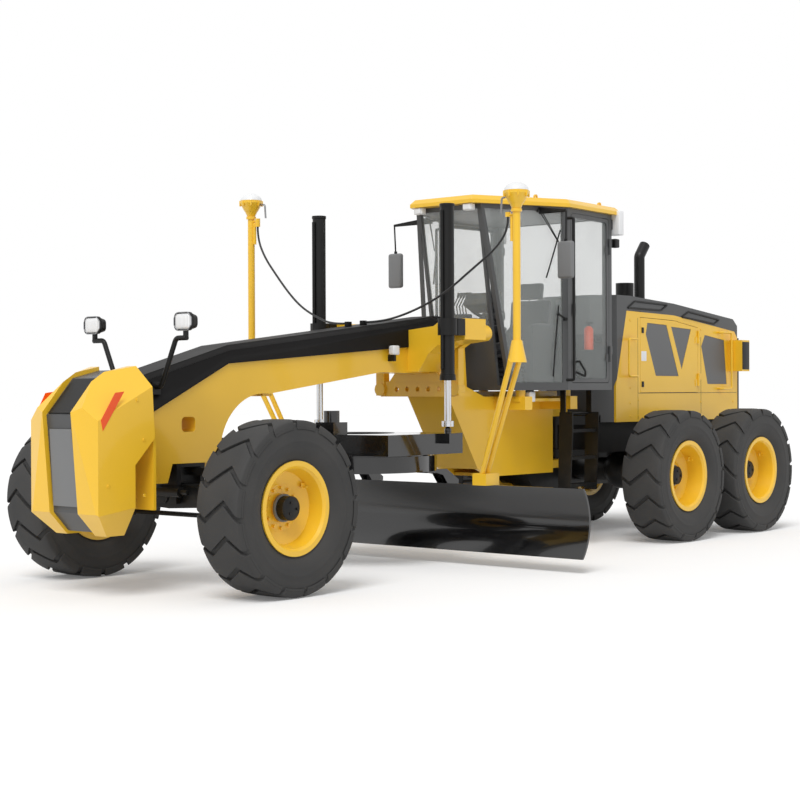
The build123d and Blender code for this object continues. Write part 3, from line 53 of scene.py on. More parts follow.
# turn, rise and roll are in radians, lens and sensor in millimetres
camera = {"place": (12.513, 9.941, 1.565), "turn": -2.4382, "rise": -0.0059, "roll": -0.0042,
          "lens": 73.95, "sensor": 36, "farthest": 200}
lens = bpy.data.cameras.new("camera")
lens.lens, lens.sensor_width, lens.clip_end = camera["lens"], camera["sensor"], camera["farthest"]
eye = bpy.data.objects.new("camera", lens)
scene.collection.objects.link(eye)
ahead = Vector((math.cos(camera["rise"]) * math.cos(camera["turn"]),
                math.cos(camera["rise"]) * math.sin(camera["turn"]), math.sin(camera["rise"])))
eye.matrix_world = (Matrix.Translation(camera["place"]) @ ahead.to_track_quat("-Z", "Y").to_matrix().to_4x4()
                    @ Matrix.Rotation(camera["roll"], 4, "Z"))
scene.camera = eye
scene.view_settings.view_transform = "Standard"


# a socket that takes sums, so that shader maths reads as plain expressions
class Wire:
    def __init__(self, tree, socket=None):
        self.tree, self.socket = tree, socket

    def add(self, kind, settings=None, inputs=None, out=0):
        made = self.tree.nodes.new("ShaderNode" + kind)
        for name, value in (settings or {}).items():
            if name == "stops":
                while len(made.color_ramp.elements) < len(value):
                    made.color_ramp.elements.new(1)
                for stop, (position, shade) in zip(made.color_ramp.elements, value):
                    stop.position, stop.color = position, (shade, shade, shade, 1)
            else:
                setattr(made, name, value)
        for name, value in (inputs or {}).items():
            if isinstance(value, Wire):
                self.tree.links.new(value.socket, made.inputs[name])
            else:
                made.inputs[name].default_value = value
        return Wire(self.tree, made.outputs[out])

    def maths(self, operation, other):
        return self.add("Math", {"operation": operation}, {0: self, 1: other})

    def __add__(self, other): return self.maths("ADD", other)
    __radd__ = __add__
    def __mul__(self, other): return self.maths("MULTIPLY", other)
    __rmul__ = __mul__
    def __sub__(self, other): return self.maths("SUBTRACT", other)
    def __rsub__(self, other): return self.add("Math", {"operation": "SUBTRACT"}, {0: other, 1: self})

    def between(self, low, high):
        return self.add("MapRange", {}, {"Value": self, "From Min": low, "From Max": high})

    def mixed(self, first, second):
        return self.add("Mix", {"data_type": "RGBA"}, {0: self, 6: first, 7: second}, 2)

    def spots(self, place, size, detail=3, rough=0.5):
        return self.add("TexNoise", {}, {"Vector": place, "Scale": 1 / size, "Detail": detail, "Roughness": rough},
                        "Fac")

    def height(self, place):                            # height above the ground
        return self.add("SeparateXYZ", {}, {0: place}, 2)

    def seen(self):                                     # 1 where the eye, a mirror or a pane looks at it
        ray = self.tree.nodes.new("ShaderNodeLightPath")
        eye, gloss, pane = (Wire(self.tree, ray.outputs["Is %s Ray" % kind]) for kind in
                            ("Camera", "Glossy", "Transmission"))
        return eye.maths("MAXIMUM", gloss).maths("MAXIMUM", pane)


# a colour given as 0 to 255, as the linear values that shaders take
def tone(*colour):
    return tuple(((v / 255 + 0.055) / 1.055) ** 2.4 if v > 10 else v / 255 / 12.92 for v in colour) + (1,)


def shaded(colour, factor):
    return tuple(v * factor for v in colour[:3]) + (1,)


def newMaterial(name, settings):
    made = bpy.data.materials.new(name)
    made.use_nodes = True
    made.node_tree.nodes.clear()
    tree = made.node_tree
    wires = Wire(tree)
    shader = tree.nodes.new("ShaderNodeBsdfPrincipled")
    end = tree.nodes.new("ShaderNodeOutputMaterial")
    tree.links.new(shader.outputs[0], end.inputs["Surface"])
    for socket, value in settings.items():
        shader.inputs[socket].default_value = value
    made.diffuse_color = settings.get("Base Color", (0.5, 0.5, 0.5, 1))
    place = wires.add("TexCoord", out="Object")
    return made, wires, shader, place


def feed(wires, shader, **sockets):
    for name, value in sockets.items():
        wires.tree.links.new(value.socket, shader.inputs[name.replace("_", " ")])


def bumped(wires, shader, height, depth):
    feed(wires, shader, Normal=wires.add("Bump", {}, {"Height": height, "Distance": depth, "Strength": 1.0}))


# painted finishes: rough and coat from 0 to 1, grain in metres, bend is the index of refraction
finishes = {
    "yellow": {"colour": (245, 195, 44), "rough": 0.32, "coat": 0.35, "grain": 0.00012},
    "black": {"colour": (19, 19, 19), "rough": 0.4, "coat": 0.06, "grain": 0.0002, "bend": 1.33},
    "cladding": {"colour": (20, 19, 19), "rough": 0.5, "coat": 0.0, "grain": 0.0002, "bend": 1.25},
    "cabGrey": {"colour": (72, 73, 74), "rough": 0.42, "coat": 0.1, "grain": 0.0002},
    "midGrey": {"colour": (118, 119, 120), "rough": 0.45, "coat": 0.05, "grain": 0.0002},
    "engine": {"colour": (98, 99, 102), "rough": 0.5, "coat": 0.0, "grain": 0.0004},
    "orange": {"colour": (244, 84, 8), "rough": 0.35, "coat": 0.3, "grain": 0.0001},
    "white": {"colour": (236, 237, 238), "rough": 0.35, "coat": 0.2, "grain": 0.0001},
}


# what wear does to every paint; sizes and heights in metres
wear = {"cloudSize": 0.9, "fade": 0.93, "speckSize": 0.012, "chip": 0.6, "chipShare": 0.16,
        "dustTop": 1.1, "dustFoot": 0.1, "dustSize": 0.25, "dustShare": 0.18, "dust": (150, 138, 120)}


def paint(name, colour, rough, coat, grain, bend=1.48):
    base = tone(*colour)
    made, wires, shader, place = newMaterial(name, {"Base Color": base, "Coat Roughness": 0.08, "IOR": bend})
    cloudy = wires.spots(place, wear["cloudSize"], 4).between(0.35, 0.7)
    specks = wires.spots(place, wear["speckSize"], 2, 0.7).between(0.62, 0.78)
    low = wires.height(place).between(wear["dustTop"], wear["dustFoot"])
    dusty = (low * wires.spots(place, wear["dustSize"], 5, 0.6).between(0.45, 0.75)) * wear["dustShare"]
    colourWire = (cloudy * 0.9).mixed(base, shaded(base, wear["fade"]))
    colourWire = (specks * wear["chipShare"]).mixed(colourWire, shaded(base, wear["chip"]))
    colourWire = dusty.mixed(colourWire, tone(*wear["dust"]))
    feed(wires, shader, Base_Color=colourWire, Roughness=cloudy * 0.08 + specks * 0.1 + dusty + rough,
         Coat_Weight=coat - specks * coat * 0.5)
    bumped(wires, shader, wires.spots(place, 0.006, 2), grain)
    return made


paints = {name: paint(name + "Paint", **values) for name, values in finishes.items()}


def glossBlack():
    settings = {"base": tone(13, 13, 14), "paintedReflection": tone(24, 24, 25), "rough": 0.1, "scuffTop": 0.2, "edge": 0.125}
    made, wires, shader, place = newMaterial("bladeEnamel", {"Base Color": settings["base"], "Coat Roughness": 0.04,
                                                             "Coat Weight": 0.6})
    # long lighter bands stretched along the blade are painted reflection: the enamel's colour is mixed towards the
    # streak colour along them, and they are made a little rougher
    across = wires.add("Mapping", {}, {"Vector": place, "Scale": (3, 0.5, 3)})
    paintedReflectionBands = wires.spots(across, 0.5, 5).between(0.4, 0.7)
    low = wires.height(place).between(settings["scuffTop"], settings["edge"])
    feed(wires, shader, Base_Color=(paintedReflectionBands * 0.5).mixed(settings["base"], settings["paintedReflection"]),
         Roughness=paintedReflectionBands * 0.08 + low * 0.15 + settings["rough"])
    bumped(wires, shader, wires.spots(place, 0.3, 1), 0.0008)
    return made


def rubber():
    settings = {"base": tone(50, 50, 50), "worn": tone(64, 63, 62), "rough": 0.74, "grain": 0.0006}
    made, wires, shader, place = newMaterial("tyreRubber", {"Base Color": settings["base"], "IOR": 1.45})
    cloudy = wires.spots(place, 0.35, 5).between(0.3, 0.75)
    fine = wires.spots(place, 0.004, 3, 0.7)
    feed(wires, shader, Base_Color=cloudy.mixed(settings["base"], settings["worn"]),
         Roughness=cloudy * 0.1 + settings["rough"] - fine * 0.08)
    bumped(wires, shader, fine * 0.7 + wires.spots(place, 0.02, 2) * 0.3, settings["grain"])
    return made


def cableRubber():
    settings = {"dark": tone(20, 20, 21), "worn": tone(38, 38, 39), "rough": 0.45, "grain": 0.0002}
    made, wires, shader, place = newMaterial("cableRubber", {"Base Color": tone(22, 22, 23)})
    fine = wires.spots(place, 0.003, 2)
    feed(wires, shader, Roughness=fine * 0.15 + settings["rough"],
         Base_Color=(fine * 0.5).mixed(settings["dark"], settings["worn"]))
    bumped(wires, shader, fine, settings["grain"])
    return made


def glass():
    settings = {"tint": tone(206, 212, 210), "cover": 0.15, "rough": 0.03}
    made, wires, shader, place = newMaterial("cabGlass", {"Base Color": settings["tint"], "IOR": 1.45})
    cloudy = wires.spots(place, 0.7, 3).between(0.3, 0.8)
    feed(wires, shader, Alpha=cloudy * 0.04 + settings["cover"], Roughness=cloudy * 0.03 + settings["rough"])
    return made


def metal(name, colour, rough, grain):
    base = tone(*colour)
    made, wires, shader, place = newMaterial(name, {"Base Color": base, "Metallic": 1.0})
    across = wires.add("Mapping", {}, {"Vector": place, "Scale": (8, 8, 0.6)})
    brushed = wires.spots(across, 0.05, 4)
    feed(wires, shader, Roughness=brushed * 0.12 + rough, Base_Color=(brushed * 0.4).mixed(base, shaded(base, 0.8)))
    bumped(wires, shader, brushed, grain)
    return made


def moulded():
    settings = {"base": tone(52, 53, 54), "pale": tone(66, 67, 68), "pebbles": 260.0, "rough": 0.55, "grain": 0.0004}
    made, wires, shader, place = newMaterial("consolePlastic", {"Base Color": settings["base"]})
    pebbles = wires.add("TexVoronoi", {}, {"Vector": place, "Scale": settings["pebbles"]}, "Distance")
    cloudy = wires.spots(place, 0.2, 3)
    feed(wires, shader, Roughness=pebbles * 0.15 + settings["rough"],
         Base_Color=(cloudy * 0.6).mixed(settings["base"], settings["pale"]))
    bumped(wires, shader, pebbles, settings["grain"])
    return made


def weave():
    settings = {"base": tone(48, 49, 52), "pale": tone(78, 79, 83), "threads": 340.0 / 6, "rough": 0.82}
    made, wires, shader, place = newMaterial("seatCloth", {"Base Color": settings["base"], "Sheen Weight": 0.3})
    inputs = {"Vector": place, "Scale": settings["threads"], "Distortion": 0.6, "Detail": 1.0}
    waves = [wires.add("TexWave", {"bands_direction": way}, inputs, "Fac") for way in ("X", "Y", "Z")]
    cloth = (waves[0] + waves[1] + waves[2]) * 0.33
    worn = wires.spots(place, 0.12, 4).between(0.4, 0.8)
    feed(wires, shader, Base_Color=(cloth * 0.7).mixed(settings["base"], settings["pale"]),
         Roughness=worn * 0.08 + settings["rough"])
    bumped(wires, shader, cloth, 0.0006)
    return made


def meshPanel():
    settings = {"hole": 0.012, "wire": tone(96, 97, 98), "dark": tone(34, 34, 35)}
    made, wires, shader, place = newMaterial("grilleMesh", {"Base Color": settings["wire"]})
    cells = wires.add("TexVoronoi", {"feature": "DISTANCE_TO_EDGE"},
                      {"Vector": place, "Scale": 1 / settings["hole"], "Randomness": 0.0}, "Distance")
    hole = cells.between(0.14, 0.24)
    feed(wires, shader, Base_Color=hole.mixed(settings["wire"], settings["dark"]), Roughness=hole * 0.3 + 0.45)
    bumped(wires, shader, 1 - hole, 0.002)
    return made


def lampLens():
    settings = {"bright": tone(250, 250, 250), "dim": tone(196, 198, 200), "ribs": 22.0, "rough": 0.12}
    made, wires, shader, place = newMaterial("lampLens", {"Base Color": tone(238, 240, 242), "IOR": 1.5,
                                                          "Coat Weight": 1.0, "Coat Roughness": 0.03})
    ribs = wires.add("TexWave", {"bands_direction": "Y"}, {"Vector": place, "Scale": settings["ribs"]}, "Fac")
    feed(wires, shader, Base_Color=(ribs * 0.7).mixed(settings["bright"], settings["dim"]),
         Roughness=ribs * 0.1 + settings["rough"])
    bumped(wires, shader, ribs, 0.0012)
    return made


def mirrorFace():
    made, wires, shader, place = newMaterial("mirrorFace", {"Base Color": tone(200, 203, 206), "Metallic": 1.0})
    feed(wires, shader, Roughness=wires.spots(place, 0.1, 3) * 0.06 + 0.04)
    return made


materials = {"rubber": rubber(), "cable": cableRubber(), "blade": glossBlack(), "glass": glass(),
             "chrome": metal("chromeRod", (214, 216, 219), 0.12, 0.00005),
             "steel": metal("bareSteel", (150, 151, 153), 0.34, 0.0002), "plastic": moulded(), "cloth": weave(),
             "mesh": meshPanel(), "lens": lampLens(), "mirror": mirrorFace(), **paints}
print("materials made")

slotFinish = {
    "yellow_paint": "yellow", "black_paint": "black", "grey_paint": "cabGrey", "engine_paint": "engine",
    "clear_glass": "glass", "seat_cover": "cloth", "console_plastic": "plastic", "bright_steel": "steel",
    "blade_enamel": "blade", "chrome_rod": "chrome", "cable_rubber": "cable", "tyre_rubber": "rubber",
}
nodeFinish = {"front_axle": "black", "beam_cladding": "cladding", "push_block_centre": "cabGrey", "circle": "blade",
              "drawbar": "blade", "blade_cradle": "blade", "hood_cover": "cabGrey"}
for part in frame["record"]["subparts"]:
    finish = nodeFinish.get(part["node"], slotFinish[part["material_slot"]])
    node = nodes[part["node"]]
    node.data.materials.clear()
    node.data.materials.append(materials[finish])
slotOf = {finish: slot for slot, finish in slotFinish.items()}
slotOf.update({"cladding": "black_paint", "mesh": "black_paint", "midGrey": "grey_paint", "white": "console_plastic",
               "orange": "yellow_paint", "lens": "clear_glass", "mirror": "bright_steel"})


# closes a shape, gives it its finish and sets it on its body, most often the front frame; crease in degrees
def finishPiece(name, shape, finish, body="front_frame", crease=38, bevel=None, levels=0, replaces=()):
    bmesh.ops.remove_doubles(shape, verts=shape.verts, dist=0.00002)
    bmesh.ops.recalc_face_normals(shape, faces=shape.faces)
    for face in shape.faces:
        face.smooth = True
    for edge in shape.edges:
        edge.smooth = edge.calc_face_angle(0) < math.radians(crease)
    data = bpy.data.meshes.new(name)
    shape.to_mesh(data)
    shape.free()
    data.materials.append(materials[finish])
    made = bpy.data.objects.new(name, data)
    scene.collection.objects.link(made)
    if bevel:
        edges = made.modifiers.new("bevel", "BEVEL")
        edges.width, edges.segments = bevel, 2
        edges.limit_method, edges.angle_limit = "ANGLE", math.radians(crease)
    if levels:
        soft = made.modifiers.new("smooth", "SUBSURF")
        soft.levels = soft.render_levels = levels
    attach(made, body)
    if replaces:
        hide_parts(*replaces)
    return made


def addBox(shape, low, high, turn=None, edge=0.0):
    low, high = Vector(low), Vector(high)
    middle, size = (low + high) / 2, high - low
    made = bmesh.ops.create_cube(shape, size=1)["verts"]
    bmesh.ops.scale(shape, vec=size, verts=made)
    if edge:
        rims = list({e for v in made for e in v.link_edges})
        cut = bmesh.ops.bevel(shape, geom=rims, offset=edge, segments=3, profile=0.5, affect="EDGES", material=-1)
        made = list({v for f in cut["faces"] for v in f.verts} | {v for v in made if v.is_valid})
    if turn is not None:
        bmesh.ops.transform(shape, matrix=turn.to_4x4(), verts=made)
    bmesh.ops.translate(shape, vec=middle, verts=made)
    return made


# a box given for the left side, on either side of the machine
def addSideBox(shape, side, low, high, edge=0.0):
    near, far = sorted((side * low[1], side * high[1]))
    addBox(shape, (low[0], near, low[2]), (high[0], far, high[2]), edge=edge)


def addBar(shape, start, end, radius, tip=None, segments=20):
    start, end = Vector(start), Vector(end)
    span = end - start
    place = Matrix.Translation((start + end) / 2) @ span.to_track_quat("Z", "Y").to_matrix().to_4x4()
    bmesh.ops.create_cone(shape, cap_ends=True, segments=segments, radius1=radius,
                          radius2=radius if tip is None else tip, depth=span.length, matrix=place)


def boxPiece(name, low, high, finish, body, edge=0.0, side=1, crease=38):
    shape = bmesh.new()
    addSideBox(shape, side, low, high, edge)
    finishPiece(name, shape, finish, body, crease)


def barPiece(name, start, end, radius, finish, body, tip=None, segments=20, bevel=None):
    shape = bmesh.new()
    addBar(shape, start, end, radius, tip, segments)
    finishPiece(name, shape, finish, body, bevel=bevel)


def addPlate(shape, outline, away):
    corners = [shape.verts.new(point) for point in outline]
    face = shape.faces.new(corners)
    raised = bmesh.ops.extrude_face_region(shape, geom=[face])["geom"]
    lifted = [v for v in raised if isinstance(v, bmesh.types.BMVert)]
    bmesh.ops.translate(shape, vec=away, verts=lifted)


def joinRings(shape, rings, closed=True):
    for a, b in zip(rings, rings[1:]):
        for place in range(len(a)):
            after = (place + 1) % len(a)
            shape.faces.new((a[place], a[after], b[after], b[place]))
    if closed:
        shape.faces.new(rings[0])
        shape.faces.new(rings[-1])


def spinRing(shape, section, middle, axis, steps):
    ring = [shape.verts.new(Vector(middle) + Vector(point)) for point in section]
    edges = [shape.edges.new((a, b)) for a, b in zip(ring, ring[1:] + ring[:1])]
    bmesh.ops.spin(shape, geom=ring + edges, cent=middle, axis=axis, angle=math.tau, steps=steps, use_merge=True)


# a round tube on a smooth line; rounds and steps are how finely it is drawn round and along
def tube(name, path, radius, rounds, steps, finish, body, closed=False):
    line = bpy.data.curves.new(name, "CURVE")
    line.dimensions, line.bevel_depth, line.bevel_resolution, line.use_fill_caps = "3D", radius, rounds, True
    spline = line.splines.new("NURBS")
    spline.points.add(len(path) - 1)
    for spot, point in zip(spline.points, path):
        spot.co = (*point, 1)
    spline.order_u, spline.use_endpoint_u, spline.use_cyclic_u, spline.resolution_u = 3, not closed, closed, steps
    line.materials.append(materials[finish])
    made = bpy.data.objects.new(name, line)
    scene.collection.objects.link(made)
    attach(made, body)
    return made


# a stiff rail, straight between its corners
def rail(name, points, radius, bend, finish, body="front_frame", closed=False):
    points = [Vector(p) for p in points]
    path = []
    for place, point in enumerate(points):
        if not closed and place in (0, len(points) - 1):
            path.append(point)
            continue
        before, after = points[place - 1], points[(place + 1) % len(points)]
        path += [point + (before - point).normalized() * bend, point, point + (after - point).normalized() * bend]
    tube(name, path, radius, 3, 4, finish, body, closed)


# mast cables: each route runs from the mast's plug to the clip on the gooseneck
cables = {
    "left": {"points": [(1.14, 1.52, 3.05), (1.14, 1.52, 2.94), (1.165, 1.405, 2.78), (1.2, 1.18, 2.62),
                        (1.23, 0.92, 2.432), (1.262, 0.68, 2.312), (1.295, 0.43, 2.226), (1.345, 0.23, 2.184),
                        (1.345, 0.06, 2.184)], "length": 1.819},
    "right": {"points": [(1.14, -1.52, 3.17), (1.14, -1.52, 3.05), (1.18, -1.385, 2.86), (1.24, -1.175, 2.68),
                         (1.3, -0.945, 2.49), (1.35, -0.73, 2.345), (1.4, -0.49, 2.245), (1.47, -0.24, 2.172),
                         (1.47, -0.06, 2.172)], "length": 1.914},
}
cableSize = 0.02
for label, facts in cables.items():
    cable = tube("mastCable_" + label, facts["points"], cableSize / 2, 4, 12, "cable", "front_frame")
    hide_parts("mast_cable_" + label)
print("cables laid")

# tyres; a block's foot is drawn in by tuck, past tuckFrom from the middle
tyre = {"radius": 0.675, "blocks": 16, "grooveWidth": 0.046, "steps": 6, "edge": 0.004, "around": 96,
        "tuck": 0.93, "tuckFrom": 0.2}
# the wall and shoulder under the blocks: (across, radius)
tyre["wall"] = [(0.163, 0.3185), (0.163, 0.372), (0.178, 0.388), (0.204, 0.428), (0.2165, 0.47), (0.2185, 0.502),
                (0.2222, 0.509), (0.2196, 0.517), (0.2186, 0.556), (0.2165, 0.594), (0.211, 0.618), (0.198, 0.637),
                (0.178, 0.6455), (0.12, 0.648), (0.06, 0.649)]
# a groove's line: (round the tread, across)
tyre["groove"] = [(0.0, -0.2235), (0.065, -0.12), (-0.075, 0.08), (0.06, 0.2235)]
# a block's skin: (across, radius, radius at its foot)
tyre["crown"] = [(0.2205, 0.598, 0.59), (0.2225, 0.622, 0.604), (0.2195, 0.645, 0.615), (0.211, 0.661, 0.625),
                 (0.195, 0.669, 0.632), (0.12, 0.673, 0.64), (0.08, 0.6745, 0.641), (0.03, 0.675, 0.641)]
wheels = [("front_left", machine["frontAxleX"], 1, machine["frontWheelY"]),
          ("front_right", machine["frontAxleX"], -1, machine["frontWheelY"])]
for label, way in (("middle", 1), ("rear", -1)):
    x = tandemX + way * machine["tandemSpacing"] / 2
    wheels += [(label + "_left", x, 1, machine["rearWheelY"]), (label + "_right", x, -1, machine["rearWheelY"])]


def carcass(middle):
    shape = bmesh.new()
    section = tyre["wall"] + [(-across, radius) for across, radius in tyre["wall"][::-1]]
    spinRing(shape, [(0, across, radius) for across, radius in section], middle, (0, 1, 0), tyre["around"])
    return shape


def grooveAt(across):
    for (along, low), (alongNext, high) in zip(tyre["groove"], tyre["groove"][1:]):
        if across <= high:
            return along + (alongNext - along) * (across - low) / (high - low)
    return tyre["groove"][-1][0]


# the corners round a grid's rim, in turn
def rimOf(grid):
    return grid[0] + [row[-1] for row in grid[1:]] + grid[-1][-2::-1] + [row[0] for row in grid[-2:0:-1]]


def treadBlocks(shape, middle, side):
    rows = sorted([(-across, radius, foot) for across, radius, foot in tyre["crown"]] + tyre["crown"])
    pitch, steps = math.tau / tyre["blocks"], tyre["steps"]
    gap = tyre["grooveWidth"] / 2 / tyre["radius"]
    for number in range(tyre["blocks"]):
        skins = []
        for level in (1, 2):                            # the tread's face, then the foot
            grid = []
            for row in rows:
                start = number * pitch + grooveAt(row[0]) / tyre["radius"] + gap
                inward = tyre["tuck"] if level == 2 and abs(row[0]) > tyre["tuckFrom"] else 1.0
                turns = [start + (pitch - 2 * gap) * step / steps for step in range(steps + 1)]
                grid.append([shape.verts.new(middle + Vector((row[level] * math.sin(turn), side * row[0] * inward,
                                                              row[level] * math.cos(turn)))) for turn in turns])
            skins.append(grid)
        for grid in skins:
            for a, b in zip(grid, grid[1:]):
                for step in range(steps):
                    shape.faces.new((a[step], a[step + 1], b[step + 1], b[step]))
        joinRings(shape, [rimOf(grid) for grid in skins], closed=False)


for name, x, side, y in wheels:
    middle = Vector((x, side * y, axleZ))
    finishPiece("tyreCarcass_" + name, carcass(middle), "rubber", "wheel_" + name, crease=50,
                replaces=("tyre_" + name,))
    blocks = bmesh.new()
    treadBlocks(blocks, middle, side)
    finishPiece("tyreTread_" + name, blocks, "rubber", "wheel_" + name, crease=34, bevel=tyre["edge"])
print("tyres made")

# hubs: how far each stands in from the rim's face and how far its cap stands out
hub = {"front": {"sunk": 0.140, "out": 0.085}, "rear": {"sunk": 0.190, "out": 0.05}, "rimFace": 0.178,
       "cap": 0.094, "lid": 0.012, "flange": 0.108, "flangeIn": 0.012, "flangeOut": 0.014}
hubBolt = {"count": 3, "start": 0.4, "circle": 0.05, "radius": 0.011, "high": 0.01}
valve = {"turn": -0.9, "circle": 0.245, "radius": 0.006, "from": 0.03, "long": 0.075, "clampHalf": 0.004}
for name, x, side, y in wheels:
    form = hub["front" if name.startswith("front") else "rear"]
    out = Vector((0, side, 0))
    face = Vector((x, side * (y + hub["rimFace"] - form["sunk"]), axleZ))
    top = face + out * form["out"]
    lid = top + out * hub["lid"]
    shape = bmesh.new()
    addBar(shape, face, top, hub["cap"], segments=40)
    addBar(shape, top, lid, hub["cap"] - 0.004, hub["cap"] - 0.02, segments=40)
    for number in range(hubBolt["count"]):
        turn = Matrix.Rotation(number * math.tau / hubBolt["count"] + hubBolt["start"], 3, "Y")
        foot = lid + turn @ Vector((0, 0, hubBolt["circle"]))
        addBar(shape, foot, foot + out * hubBolt["high"], hubBolt["radius"], segments=6)
    finishPiece("hubCap_" + name, shape, "black", "wheel_" + name, bevel=0.003)
    barPiece("hubFlange_" + name, face - out * hub["flangeIn"], face + out * hub["flangeOut"], hub["flange"], "midGrey",
             "wheel_" + name, segments=48, bevel=0.004)
    stem = bmesh.new()
    base = Vector((x, side * (y + valve["from"]), axleZ)) \
        + Matrix.Rotation(valve["turn"], 3, "Y") @ Vector((0, 0, valve["circle"]))
    addBar(stem, base, base + out * valve["long"], valve["radius"], segments=12)
    clamp = base + out * 0.03
    addBox(stem, clamp - Vector((0.02, valve["clampHalf"], 0.012)), clamp + Vector((0.02, valve["clampHalf"], 0.03)),
           edge=0.002)
    finishPiece("valveStem_" + name, stem, "yellow", "wheel_" + name)
print("hubs made")

# the gooseneck's cladding: a folded top over two side plates; top and low are (x, z)
shell = {"half": 0.185, "wall": 0.018, "edgeDown": 0.045, "edgeIn": 0.03, "skin": 0.009, "lap": 0.002,
         "top": [(4.2, 1.655), (3.16, 1.942), (0.43, 2.268), (-0.07, 2.18)],
         "low": [(-0.07, 2.09), (0.37, 2.125), (0.885, 2.125), (0.88, 1.963), (3.17, 1.79), (4.2, 1.3)]}
clip = {"half": 0.025, "inner": 0.2, "foot": 2.142, "grip": 0.016}


def claddingShell():
    shape = bmesh.new()
    half, down, inward, skin = shell["half"], shell["edgeDown"], shell["edgeIn"], shell["skin"]
    foot, under = down + shell["lap"], inward + skin / 2
    section = [(half, -down), (half - inward, 0), (inward - half, 0), (-half, -down), (skin - half, -foot),
               (under - half, -skin), (half - under, -skin), (half - skin, -foot)]
    joinRings(shape, [[shape.verts.new((x, y, z + drop)) for y, drop in section] for x, z in shell["top"]])
    outline = [(x, z - down) for x, z in shell["top"]] + shell["low"]
    for side in (-1, 1):
        addPlate(shape, [(x, side * (half - shell["wall"]), z) for x, z in outline], (0, side * shell["wall"], 0))
    for facts in cables.values():                       # clips that hold the mast cables
        x, y, z = facts["points"][-1]
        addSideBox(shape, 1, (x - clip["half"], y * clip["inner"], clip["foot"]),
                   (x + clip["half"], y, z + clip["grip"]), edge=0.004)
    finishPiece("claddingShell", shape, "cladding", crease=20, replaces=("beam_cladding",))


claddingShell()

# push block: its side faces lean out towards the rear from their front corner; stripe and bolts are (x, z)
block = {"cornerX": 4.709, "cornerY": 0.4, "lean": 0.0982, "stripeHigh": 0.003,
         "stripe": [(4.559, 1.556), (4.478, 1.565), (4.668, 1.272), (4.685, 1.352)],
         "bolts": [(4.36, 1.5), (4.62, 0.86), (4.3, 0.78), (4.3, 1.2)], "boltRadius": 0.013}


def blockY(x):
    return block["cornerY"] + (block["cornerX"] - x) * block["lean"]


for label, side in sides:
    shape = bmesh.new()
    addPlate(shape, [(x, side * blockY(x), z) for x, z in block["stripe"]], (0, side * block["stripeHigh"], 0))
    finishPiece("pushStripe_" + label, shape, "orange")
    bolts = bmesh.new()
    for x, z in block["bolts"]:
        addBar(bolts, (x, side * (blockY(x) - 0.004), z), (x, side * (blockY(x) + 0.006), z), block["boltRadius"],
               segments=6)
    finishPiece("pushBolts_" + label, bolts, "yellow", bevel=0.001)
# panels on the block's middle, each from its foot to its top: (x, z)
centre = {"half": 0.15, "narrower": 0.02, "high": 0.01,
          "panels": {"low": ("midGrey", (4.686, 0.7), (4.735, 1.285)), "high": ("black", (4.733, 1.4), (4.505, 1.658))}}
for name, (finish, (x, z), (xTop, zTop)) in centre["panels"].items():
    shape = bmesh.new()
    half, halfTop = centre["half"], centre["half"] - centre["narrower"]
    outward = Vector((zTop - z, 0, x - xTop)).normalized()
    addPlate(shape, [(x, -half, z), (xTop, -halfTop, zTop), (xTop, halfTop, zTop), (x, half, z)],
             outward * centre["high"])
    finishPiece("centrePanel_" + name, shape, finish, bevel=0.002)

headlamp = {"x": 3.99, "y": 0.542, "z": 2.1, "width": 0.18, "height": 0.122, "corner": 0.035, "bulge": 0.02,
            "back": 0.006, "trim": 0.008, "trimRadius": 0.004}


def roundedRing(width, height, corner, count=6):
    spots = []
    for turn, (across, up) in enumerate(((1, 1), (-1, 1), (-1, -1), (1, -1))):
        for step in range(count + 1):
            angle = math.radians(90 * turn + 90 * step / count)
            spots.append((across * (width / 2 - corner) + corner * math.cos(angle),
                          up * (height / 2 - corner) + corner * math.sin(angle)))
    return spots


# a plate with rounded corners that bulges forwards; each ring is (size, forwards)
def domedPlate(shape, middle, width, height, corner, bulge, back):
    rows = []
    for size, lift in ((1.0, -back), (1.0, 0.0), (0.93, bulge * 0.45), (0.75, bulge * 0.8), (0.45, bulge * 0.97)):
        ring = roundedRing(width * size, height * size, corner * size)
        rows.append([shape.verts.new(Vector(middle) + Vector((lift, y, z))) for y, z in ring])
    joinRings(shape, rows)


for label, side in sides:
    shape = bmesh.new()
    middle = Vector((headlamp["x"], side * headlamp["y"], headlamp["z"]))
    domedPlate(shape, middle, *(headlamp[size] for size in ("width", "height", "corner", "bulge", "back")))
    finishPiece("headlampLens_" + label, shape, "lens", crease=60)
    wider = 2 * headlamp["trim"]
    trim = roundedRing(headlamp["width"] + wider, headlamp["height"] + wider, headlamp["corner"] + 0.006, 1)
    rail("headlampTrim_" + label, [middle + Vector((headlamp["trim"], side * y, z)) for y, z in trim],
         headlamp["trimRadius"], 0.012, "steel", closed=True)


# a rounded lamp box with a clear face; ahead is 1 where it shines forwards and -1 backwards
def workLamp(name, middle, size, ahead, finish):
    middle, half = Vector(middle), Vector(size) / 2
    boxPiece(name, middle - half, middle + half, finish, "front_frame", 0.012)
    thin = Vector((0.006, half.y * 0.8, half.z * 0.8))
    spot = middle + Vector((ahead * half.x, 0, 0))
    boxPiece(name + "Lens", spot - thin, spot + thin, "lens", "front_frame", 0.003)


